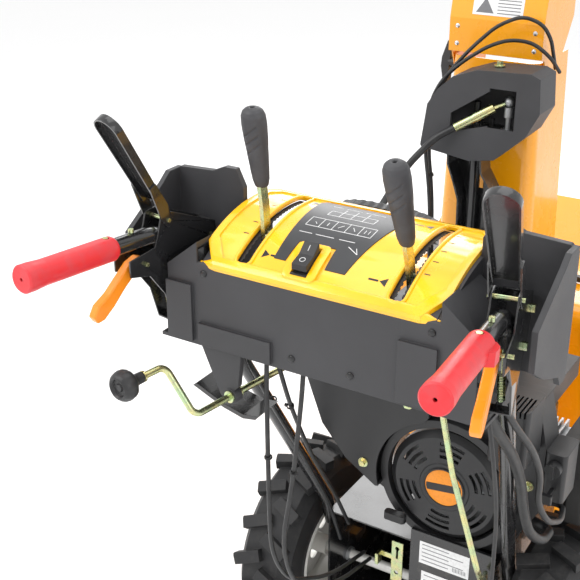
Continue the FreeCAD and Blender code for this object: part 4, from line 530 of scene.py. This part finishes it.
# ---------------------------------------------------------------- operators
# How round each node's corners are, in metres
SOFT_EDGES = {
    "dash_panel": 0.0016, "dash_housing": 0.0030, "head_cover": 0.0070, "engine_shroud": 0.0020,
    "engine_covers": 0.0016, "fuel_tank": 0.0030, "trigger_left": 0.0024, "trigger_right": 0.0024,
    "switch_rocker": 0.0010, "starter_grip": 0.0020, "chute_support": 0.0010, "deflector": 0.0006,
    "cleanout_tool": 0.0010, "belt_cover": 0.0030, "muffler": 0.0010, "clutch_lever_left": 0.0006,
    "clutch_lever_right": 0.0006, "handle_brackets": 0.0006, "rear_panel": 0.0006,
}


class SNOW_OT_materials(bpy.types.Operator):
    """Give every CAD node the material of its slot"""
    bl_idname = "snow.materials"
    bl_label = "Materials"

    def execute(self, context):
        MATERIALS.update(material_set(context.scene.paint_looks))
        for row in frame["record"]["subparts"]:
            node = frame["nodes"][row["node"]]
            node.data.materials.clear()
            node.data.materials.append(MATERIALS[row["material_slot"]])
            for polygon in node.data.polygons:
                polygon.material_index = 0
            self.soften(node, SOFT_EDGES.get(row["node"], 0.0))
        return {"FINISHED"}

    def soften(self, node, width):
        """Rounds a moulded or pressed node's sharp edges, without touching its mesh."""
        if not width:
            return
        weld = node.modifiers.new("weld", "WELD")
        weld.merge_threshold = 0.00002
        bevel = node.modifiers.new("soft edges", "BEVEL")
        bevel.width = width
        bevel.segments = 3
        bevel.limit_method = "ANGLE"
        bevel.angle_limit = math.radians(12 if node.name == "head_cover" else 38)
        bevel.harden_normals = True


# Foot and top of each lever knob
PITCH_KNOB = ((-LEVER_X, -0.473, 1.068), (-LEVER_X, -0.494, 1.180))
SPEED_KNOB = ((LEVER_X, -0.497, 1.040), (LEVER_X, -0.541, 1.158))
# Radii up a lever knob, each at its share of the height
KNOB_SHAPE = ((0.0, 0.0088), (0.02, 0.0102), (0.10, 0.0122), (0.25, 0.0136), (0.45, 0.0152), (0.64, 0.0170),
              (0.80, 0.0178), (0.90, 0.0172), (0.955, 0.0148), (0.985, 0.0110), (1.0, 0.0060))
# Heights of the three grooves, as shares of the knob's height
KNOB_GROOVES = (0.50, 0.615, 0.73)
# The hole in a knob's top: steps along the knob's heading, with radii
KNOB_HOLE = ((0.0, 0.0034), (-0.0012, 0.0026), (-0.009, 0.0024))


class SNOW_OT_knobs(bpy.types.Operator):
    """Soft lever knobs with three slanting grooves and a hole in the top"""
    bl_idname = "snow.knobs"
    bl_label = "Lever knobs"

    def execute(self, context):
        s = context.scene.knob_looks
        rows = (("pitch_soft_knob", PITCH_KNOB, "pitch_stick", "pitch_knob"),
                ("speed_soft_knob", SPEED_KNOB, "speed_stick", "speed_knob"))
        for name, (low, top), body, node in rows:
            bm = bmesh.new()
            self.knob(bm, Vector(low), Vector(top), s)
            obj = finish_mesh(name, bm, "grey_rubber", body, 60)
            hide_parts(node)
        return {"FINISHED"}

    def knob(self, bm, low, top, s):
        """Flattened soft grip, with its grooves pressed in and its hole sunk from the top."""
        heading = (top - low).normalized()
        length = (top - low).length
        side, up = ACROSS, heading.cross(ACROSS).normalized()
        rings = []
        rows, count = 110, 72
        for j in range(rows + 1):
            t = 1 - (1 - j / rows) ** 1.25
            radius = self.radius(t)
            ring = []
            for k in range(count):
                a = 2 * math.pi * k / count
                x, y = math.cos(a), math.sin(a)
                dent = 0.0
                for groove in KNOB_GROOVES:
                    middle = groove + s.groove_lean * x * radius / length
                    near = abs(t - middle) * length / (s.groove_width / 2)
                    face = max(0.0, min(1.0, (0.78 - abs(x)) * 6))
                    dent = max(dent, s.groove_depth * face * max(0.0, 1 - near ** 2))
                scale = radius - dent
                ring.append(low + heading * (t * length) + side * (x * scale) + up * (y * scale * s.flatness))
            rings.append(ring)
        rings += [circle(top + heading * depth, side, up, radius, count) for depth, radius in KNOB_HOLE]
        loft(bm, rings)

    def radius(self, t):
        """Radius at a share of the knob's height, half way between straight and eased steps."""
        for (a, ra), (b, rb) in zip(KNOB_SHAPE, KNOB_SHAPE[1:]):
            if t <= b:
                u = (t - a) / (b - a)
                u = u * u * (3 - 2 * u) * 0.5 + u * 0.5
                return ra + (rb - ra) * u
        return KNOB_SHAPE[-1][1]


CRANK_HEADING = Vector((0.158, 0.987, 0.0)).normalized()
CRANK_TOP = Vector((-0.186, -0.612, 0.836))
# How far behind that place the knob begins
CRANK_KNOB_START = 0.042
CRANK_FLUTES = 8
# Distances along the crank knob from where it begins, with radii; the last rows are its sunk hub
CRANK_KNOB_PROFILE = ((0.0, 0.0080), (0.010, 0.0082), (0.014, 0.0095), (0.018, 0.0150), (0.0215, 0.0195),
                      (0.026, 0.0216), (0.031, 0.0220), (0.036, 0.0212), (0.040, 0.0190), (0.0425, 0.0165),
                      (0.0432, 0.0145), (0.0420, 0.0125), (0.0385, 0.0112), (0.0380, 0.0060),
                      (0.0400, 0.0048), (0.0402, 0.0008))


class SNOW_OT_crank_knob(bpy.types.Operator):
    """Wheel-shaped crank knob with a sunk hub and shallow finger flutes"""
    bl_idname = "snow.crank_knob"
    bl_label = "Crank knob"

    def execute(self, context):
        bm = bmesh.new()
        start = CRANK_TOP - CRANK_HEADING * CRANK_KNOB_START
        side, up = basis(-CRANK_HEADING)
        rings = []
        for along, radius in CRANK_KNOB_PROFILE:
            centre = start - CRANK_HEADING * along
            ring = []
            for k in range(96):
                a = 2 * math.pi * k / 96
                flute = 0.0006 * max(0.0, math.cos(CRANK_FLUTES * a)) if radius > 0.018 else 0.0
                reach = radius - flute
                ring.append(centre + side * (reach * math.cos(a)) + up * (reach * math.sin(a)))
            rings.append(ring)
        loft(bm, rings)
        knob = finish_mesh("crank_wheel_knob", bm, "black_plastic", "crank_grip", 50)
        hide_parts("crank_knob")
        return {"FINISHED"}


class SNOW_OT_legend(bpy.types.Operator):
    """Generic strokes on the dark plate, marks beside the slots and the switch symbol"""
    bl_idname = "snow.legend"
    bl_label = "Dash marks"

    def execute(self, context):
        s = context.scene.legend_looks
        bm = bmesh.new()
        for a, b in self.strokes():
            crown_strip(bm, a, b, s.stroke, s.lift)
        finish_mesh("legend_strokes", bm, "white_print", MACHINE, 30)
        marks = bmesh.new()
        for x, side in ((-LEVER_X, -1), (LEVER_X, 1)):
            for y in (-0.505, -0.372):
                near = x - side * 0.022
                arrow = [(near, y - 0.006), (near - side * 0.010, y), (near, y + 0.006)]
                crown_patch(marks, arrow[::side], 0.0)
                crown_strip(marks, (near - side * 0.012, y), (near - side * 0.026, y), 0.0026, 0.0)
            for k in range(5):
                y = -0.480 + k * 0.024
                crown_strip(marks, (x + side * 0.018, y), (x + side * 0.026, y), 0.0014, 0.0)
        finish_mesh("slot_marks", marks, "black_print", MACHINE, 30)
        self.switch_symbol()
        return {"FINISHED"}

    def strokes(self):
        """A row of six lines with ticks between, a second row with feet, and dashes for writing."""
        gears = [-0.066 + 0.020 * k for k in range(6)]
        feet = [-0.052 + 0.018 * k for k in range(5)]
        lines = [((gears[0], y), (gears[-1], y)) for y in (-0.440, -0.418)]
        lines += [((x, -0.440), (x, -0.418)) for x in gears]
        lines += [((feet[0], y), (feet[-1], y)) for y in (-0.404, -0.390)]
        lines += [((x, -0.404), (x, -0.390)) for x in (feet[0], feet[-1])]
        lines += [((x, -0.404), (x, -0.378)) for x in feet[1:-1]]
        for y, dashes in ((-0.372, ((-0.060, -0.044), (-0.038, -0.014), (-0.008, 0.022))),
                          (-0.456, ((-0.066, -0.046), (-0.040, -0.012), (-0.004, 0.020)))):
            lines += [((left, y), (right, y)) for left, right in dashes]
        lines += [((0.016, -0.466), (0.034, -0.476)), ((0.034, -0.476), (0.028, -0.466))]
        lines += [((-0.056, -0.429), (-0.052, -0.433)), ((-0.019, -0.433), (-0.013, -0.425)),
                  ((0.001, -0.425), (0.007, -0.433))]
        lines += [((x, -0.425), (x, -0.433)) for x in (-0.036, 0.021, 0.027)]
        return lines

    def switch_symbol(self):
        """Ring and bar on the rocker's two sloping faces."""
        bm = bmesh.new()
        rear = Vector((-0.025, -0.525, 0.991))
        middle = Vector((-0.025, -0.506, 0.998))
        front = Vector((-0.025, -0.491, 1.012))
        for a, b, kind in ((rear, middle, "ring"), (middle, front, "bar")):
            along = (b - a).normalized()
            normal = ACROSS.cross(along).normalized()
            centre = (a + b) / 2 + normal * 0.0002
            if kind == "ring":
                tube(bm, closed(circle(centre, ACROSS, along, 0.0038, 24)), 0.00045, 6)
            else:
                tube(bm, [centre - along * 0.0042, centre, centre + along * 0.0042], 0.00055, 6)
        finish_mesh("switch_symbols", bm, "white_print", "rocker", 50)


class SNOW_OT_labels(bpy.types.Operator):
    """Plain white labels with grey lines, the orange disc on the fan cover and rivets"""
    bl_idname = "snow.labels"
    bl_label = "Labels and rivets"

    def execute(self, context):
        self.rear_labels()
        self.deflector_label()
        self.fan_disc()
        self.rivets()
        return {"FINISHED"}

    def rear_labels(self):
        """Two labels on the rear panel, each with lines for writing and a row of thin bars."""
        white, grey = bmesh.new(), bmesh.new()
        plate, film, ink, rows = -0.1932, 0.0003, 0.0002, 5

        def printed_box(left, right, low, high):
            corners = [(x, plate - film, z) for x, z in oblong(left, right, low, high)]
            slab(grey, corners, REAR, ink)

        for x0, x1, z0, z1 in ((0.024, 0.118, 0.312, 0.358), (0.030, 0.110, 0.236, 0.296)):
            slab(white, [(x, plate, z) for x, z in oblong(x0, x1, z0, z1)], REAR, film)
            for k in range(rows):
                z = z1 - (k + 0.8) * (z1 - z0) / (rows + 0.6)
                end = x0 + 0.005 + (x1 - x0 - 0.012) * (0.95 if k % 2 else 0.62)
                printed_box(x0 + 0.005, end, z, z + 0.0016)
            for k in range(14):
                bar = x1 - 0.030 + k * 0.0018
                printed_box(bar, bar + 0.0005 + 0.0005 * (k % 3 == 0), z0 + 0.005, z0 + 0.013)
        finish_mesh("rear_labels", white, "white_print", MACHINE, 30)
        finish_mesh("rear_label_lines", grey, "grey_print", MACHINE, 30)

    def deflector_label(self):
        """One label on the deflector, with a band, lines for writing and a plain triangle."""
        white, grey = bmesh.new(), bmesh.new()
        low, high = Vector((0, 0.1320, 1.200)), Vector((0, 0.1450, 1.262))
        along = (high - low).normalized()
        normal = along.cross(ACROSS).normalized()
        normal = normal if normal.y < 0 else -normal

        def sheet(bm, outline, out, thickness):
            corners = [low + along * up + Vector((x, 0, 0)) + normal * out for x, up in outline]
            slab(bm, corners, normal, thickness)

        sheet(white, oblong(-0.080, 0.010, 0.008, 0.054), 0.0003, 0.0003)
        sheet(grey, oblong(-0.077, 0.007, 0.042, 0.051), 0.0006, 0.0002)
        for k in range(5):
            line = 0.012 + k * 0.0055
            sheet(grey, oblong(-0.036, 0.005, line, line + 0.0015), 0.0006, 0.0002)
        sheet(grey, [(-0.074, 0.012), (-0.042, 0.012), (-0.058, 0.037)], 0.0006, 0.0002)
        finish_mesh("deflector_label", white, "white_print", "deflector_body", 30)
        finish_mesh("deflector_label_marks", grey, "grey_print", "deflector_body", 30)

    def fan_disc(self):
        """Plain orange disc with a dark rim and a dark band, on the middle of the fan cover."""
        centre = Vector((0.061, -0.192, 0.481))
        disc = bmesh.new()
        turned(disc, centre, REAR, [(0.0, 0.034), (0.0010, 0.034), (0.0016, 0.0330), (0.0016, 0.004)], 72)
        finish_mesh("fan_disc", disc, "orange_print", MACHINE, 40)
        rim = bmesh.new()
        rim_profile = [(0.0, 0.0375), (0.0022, 0.0375), (0.0028, 0.0365), (0.0028, 0.0352), (0.0010, 0.0342)]
        turned(rim, centre, REAR, rim_profile, 72)
        finish_mesh("fan_disc_rim", rim, "black_plastic", MACHINE, 40)
        band = bmesh.new()
        tilt = math.radians(8)
        c, s = math.cos(tilt), math.sin(tilt)
        outline = [(-0.031, -0.007), (0.031, -0.007), (0.032, 0.0),
                   (0.031, 0.007), (-0.031, 0.007), (-0.032, 0.0)]
        corners = [centre + REAR * 0.0016 + Vector((x * c - z * s, 0, x * s + z * c)) for x, z in outline]
        slab(band, corners, REAR, 0.0005)
        finish_mesh("fan_disc_band", band, "black_print", MACHINE, 40)

    def rivets(self):
        """Four domed rivets on the deflector's rear."""
        bm = bmesh.new()
        dome = [(-0.0006, 0.0042), (0.0002, 0.0042), (0.0012, 0.0034), (0.0018, 0.0018), (0.0019, 0.0004)]
        for x in (-0.105, 0.035):
            for z in (1.156, 1.186):
                turned(bm, Vector((x, 0.1329 - (z - 1.142) * 0.017, z)), REAR, dome, 20)
        finish_mesh("deflector_rivets", bm, "silver_bolt", "deflector_body", 50)


# Place of each cable tie, and the way its cable runs there
CABLE_TIES = (
    ((-0.0845, -0.5105, 0.668), (-0.006, -0.007, 0.150)),
    ((-0.0385, -0.5145, 0.660), (0.012, 0.005, 0.150)),
    ((-0.106, -0.415, 0.700), (0.010, -0.060, 0.120)),
    ((-0.148, -0.398, 0.690), (0.002, -0.08, 0.12)),
    ((-0.1150, 0.0745, 0.930), (-0.012, -0.001, 0.085)),
)


class SNOW_OT_trim(bpy.types.Operator):
    """Springs, ties, lamp, screws, tyre rings and the dash's slot lips, frames and tray"""
    bl_idname = "snow.trim"
    bl_label = "Springs, ties and lamp"

    def execute(self, context):
        s = context.scene.trim_looks
        self.springs(s)
        self.ties(s)
        self.panel_border()
        self.lamp()
        self.dash_screws()
        self.sidewalls()
        self.crease_block()
        self.slot_brushes()
        self.dash_tray()
        return {"FINISHED"}

    def slot_brushes(self):
        """Dark toothed lips that close each lever slot to a narrow way for its bar."""
        bm = bmesh.new()
        tooth, pitch = 0.0036, 0.0039
        for middle in (-LEVER_X, LEVER_X):
            for side in (-1, 1):
                for k in range(44):
                    start = -0.5245 + k * pitch
                    tip = 0.0038 if k % 2 else 0.0052
                    outline = oblong(tip, SLOT_HALF, start, start + tooth)
                    crown_patch(bm, [(middle + side * x, y) for x, y in outline], -0.0075, 0.0012)
        finish_mesh("slot_lips", bm, "black_plastic", MACHINE, 30)

    def dash_tray(self):
        """Splash tray that closes the dash from below, with nine ribs under it."""
        bm = bmesh.new()
        slab(bm, [(x, y, 0.8485) for x, y in oblong(-0.182, 0.182, -0.530, -0.339)], UP, 0.0018)
        for k in range(9):
            rib = -0.160 + 0.040 * k
            slab(bm, [(x, y, 0.8475) for x, y in oblong(rib, rib + 0.002, -0.525, -0.345)], UP, 0.001)
        finish_mesh("dash_tray", bm, "black_plastic", MACHINE, 30)

    def panel_border(self):
        """Rolled rear edge of the yellow panel and the raised frames round its slots."""
        bm = bmesh.new()
        half, rear, end, steps = 0.180, -0.5365, 0.020, 40
        z = crown_height(-0.530, 0.0)
        rings = []
        for k in range(steps + 1):
            x = -half + 2 * half * k / steps
            taper = 1.0 if abs(x) < half - end else max(0.25, (half - abs(x)) / end)
            ring = []
            for j in range(13):
                a = math.radians(j * 15)
                y = rear + 0.0080 - 0.0080 * math.sin(a) * taper
                ring.append(Vector((x, y, z - 0.0068 + 0.0090 * math.cos(a) * taper)))
            rings.append(ring)
        loft(bm, rings)
        finish_mesh("panel_rear_roll", bm, "yellow_plastic", MACHINE, 50)
        frames = bmesh.new()
        for side in (-1, 1):
            x, round_end = side * LEVER_X, 0.010
            path = []
            for way, end in ((1, -0.3500), (-1, -0.5280)):
                for k in range(13):
                    a = math.pi * k / 12
                    y = end + way * round_end * (math.sin(a) - 1)
                    path.append((x - way * SLOT_HALF * math.cos(a), y))
            path.append(path[0])
            dense = []
            for (ax, ay), (bx, by) in zip(path, path[1:]):
                count = max(1, int(math.hypot(bx - ax, by - ay) / 0.006))
                dense += [(ax + (bx - ax) * k / count, ay + (by - ay) * k / count) for k in range(count)]
            dense.append(path[0])
            tube(frames, [(px, py, crown_height(py, 0.0004)) for px, py in dense], 0.0023, 12)
        finish_mesh("slot_frames", frames, "yellow_plastic", MACHINE, 60)

    def lamp(self):
        """Glossy ribbed lamp housing on the front of the dash."""
        bm = bmesh.new()
        rings = []
        for k in range(41):
            x = -0.070 + 0.140 * k / 40
            lift = 0.020 * (1 - (abs(x) / 0.072) ** 4)
            rib = 0.0008 if (k // 2) % 2 else 0.0
            section = ((-0.3350, 0.985), (-0.3350, 1.008 + lift * 0.3 - rib),
                       (-0.322, 1.010 + lift * 0.35 - rib), (-0.300, 0.998 + lift * 0.2 - rib),
                       (-0.292, 0.980), (-0.296, 0.960))
            rings.append([Vector((x, y, z)) for y, z in section])
        loft(bm, rings)
        finish_mesh("lamp_housing", bm, "lamp_gloss", MACHINE, 30)
        lens = bmesh.new()
        corners = [(-0.058, -0.2905, 0.964), (0.058, -0.2905, 0.964),
                   (0.058, -0.2885, 0.990), (-0.058, -0.2885, 0.990)]
        slab(lens, corners, FORWARD, 0.002)
        finish_mesh("lamp_lens", lens, "white_print", MACHINE, 30, 0.0006)

    def dash_screws(self):
        """Screw heads on the dash's rear wall."""
        bm = bmesh.new()
        for x, z in ((-0.172, 0.948), (0.172, 0.948), (-0.030, 0.856), (0.060, 0.856)):
            turned(bm, Vector((x, -0.5345, z)), REAR,
                   [(-0.001, 0.0052), (0.0012, 0.0050), (0.0022, 0.0038), (0.0024, 0.0012)], 24)
        finish_mesh("dash_screws", bm, "black_print", MACHINE, 45)

    def sidewalls(self):
        """Two raised rings on each tyre's outer sidewall."""
        for side, body, name in ((-1, "wheel_left_rotor", "tyre_rings_left"),
                                 (1, "wheel_right_rotor", "tyre_rings_right")):
            bm = bmesh.new()
            centre = Vector((side * 0.299, AXLE_Y, AXLE_Z))
            for radius in (0.126, 0.150):
                tube(bm, closed(circle(centre, FORWARD, UP, radius, 72)), 0.0013, 6)
            finish_mesh(name, bm, "tyre_rubber", body, 60)

    def crease_block(self):
        """Small black block standing on the auger housing's crease."""
        bm = bmesh.new()
        slab(bm, [(x, y, 0.6005) for x, y in oblong(0.170, 0.196, 0.634, 0.652)], UP, 0.024)
        finish_mesh("crease_block", bm, "black_plastic", MACHINE, 35, 0.003)

    def springs(self, s):
        """Return spring and its straight hook beside each handle."""
        bm = bmesh.new()
        for x in (-0.2565, 0.2565):
            low, high = (x, -0.505, 0.865), (x, -0.512, 0.905)
            tube(bm, coil_points(low, high, 0.0046, s.spring_turns), s.spring_wire, 8)
            tube(bm, [high, (x, -0.514, 0.925), (x, -0.515, 0.940)], s.spring_wire, 8)
        finish_mesh("handle_springs", bm, "zinc_plate", MACHINE, 60)

    def ties(self, s):
        """Cable ties: two thin loops side by side and the small head."""
        bm = bmesh.new()
        for place, heading in CABLE_TIES:
            centre = Vector(place)
            heading = Vector(heading).normalized()
            side, up = basis(heading)
            for offset in (-0.0012, 0.0012):
                loop = circle(centre + heading * offset, side, up, s.tie_radius, 24)
                tube(bm, closed(loop), 0.0010, 6)
            near, far, half = s.tie_radius, s.tie_radius + 0.004, 0.0022
            corners = ((near, -half), (near, half), (far, half), (far, -half))
            head = [centre + side * out + up * 0.002 + heading * along for out, along in corners]
            slab(bm, head, up, -0.004)
        finish_mesh("cable_ties", bm, "black_plastic", MACHINE, 50)


class SNOW_OT_studio(bpy.types.Operator):
    """Pale floor, soft lights and the camera"""
    bl_idname = "snow.studio"
    bl_label = "Studio"

    def execute(self, context):
        s = context.scene.studio_looks
        self.floor()
        self.sky(s)
        self.lights()
        self.camera(s)
        context.scene.view_settings.view_transform = "Standard"
        return {"FINISHED"}

    def floor(self):
        """Plain pale floor."""
        bm = bmesh.new()
        bmesh.ops.create_grid(bm, x_segments=8, y_segments=8, size=14.0)
        mesh = bpy.data.meshes.new("studio_floor")
        bm.to_mesh(mesh)
        bm.free()
        obj = bpy.data.objects.new("studio_floor", mesh)
        bpy.context.scene.collection.objects.link(obj)
        g = Graph("studio floor")
        tone = g.noise(1.5, 2.0)
        mesh.materials.append(g.surface(g.blend(tone, (0.93, 0.93, 0.93), (0.95, 0.95, 0.95)), 0.75))

    def sky(self, s):
        """Even white sky."""
        world = bpy.data.worlds.new("studio sky")
        world.use_nodes = True
        bpy.context.scene.world = world
        background = world.node_tree.nodes["Background"]
        background.inputs["Color"].default_value = (1.0, 1.0, 1.0, 1.0)
        background.inputs["Strength"].default_value = s.world

    def lights(self):
        """Four soft square lights that face the machine's middle."""
        target = Vector((0.0, -0.1, 0.8))
        rows = (("key", (-2.2, -2.6, 3.4), 2.4, 80.0), ("fill", (3.0, -2.0, 2.2), 2.6, 30.0),
                ("top", (0.2, 0.3, 4.2), 3.0, 45.0), ("rim", (-1.5, 3.2, 2.6), 2.0, 50.0))
        for name, place, size, power in rows:
            light = bpy.data.lights.new(name, "AREA")
            light.shape = "SQUARE"
            light.size = size
            light.energy = power
            obj = bpy.data.objects.new(name, light)
            obj.location = place
            obj.rotation_mode = "QUATERNION"
            obj.rotation_quaternion = (target - Vector(place)).to_track_quat("-Z", "Y")
            bpy.context.scene.collection.objects.link(obj)

    def camera(self, s):
        """The camera, from its place, azimuth and elevation."""
        data = bpy.data.cameras.new("camera")
        data.sensor_width = 36.0
        data.lens = s.lens
        obj = bpy.data.objects.new("camera", data)
        az, el = math.radians(s.azimuth), math.radians(s.elevation)
        heading = Vector((-math.sin(az) * math.cos(el), math.cos(az) * math.cos(el), -math.sin(el)))
        obj.location = s.place
        obj.rotation_mode = "QUATERNION"
        obj.rotation_quaternion = heading.to_track_quat("-Z", "Y")
        bpy.context.scene.collection.objects.link(obj)
        bpy.context.scene.camera = obj


class SNOW_PT_panel(bpy.types.Panel):
    """Buttons for the operators, and their settings"""
    bl_label = "Snowblower"
    bl_idname = "SNOW_PT_panel"
    bl_space_type = "VIEW_3D"
    bl_region_type = "UI"
    bl_category = "Snowblower"

    def draw(self, context):
        for operator in OPERATORS:
            self.layout.operator(operator.bl_idname)
        for name, group in SETTINGS.items():
            box = self.layout.box()
            for key in group.__annotations__:
                box.prop(getattr(context.scene, name), key)


OPERATORS = (SNOW_OT_materials, SNOW_OT_knobs, SNOW_OT_crank_knob, SNOW_OT_legend, SNOW_OT_labels,
             SNOW_OT_trim, SNOW_OT_studio)


def register():
    for cls in (*SETTINGS.values(), *OPERATORS, SNOW_PT_panel):
        bpy.utils.register_class(cls)
    for name, group in SETTINGS.items():
        setattr(bpy.types.Scene, name, bpy.props.PointerProperty(type=group))


def unregister():
    for name in SETTINGS:
        delattr(bpy.types.Scene, name)
    for cls in (SNOW_PT_panel, *reversed(OPERATORS), *reversed(tuple(SETTINGS.values()))):
        bpy.utils.unregister_class(cls)


def main():
    register()
    bpy.ops.snow.materials()
    bpy.ops.snow.knobs()
    bpy.ops.snow.crank_knob()
    bpy.ops.snow.legend()
    bpy.ops.snow.labels()
    bpy.ops.snow.trim()
    bpy.ops.snow.studio()


if __name__ == "__main__":
    main()
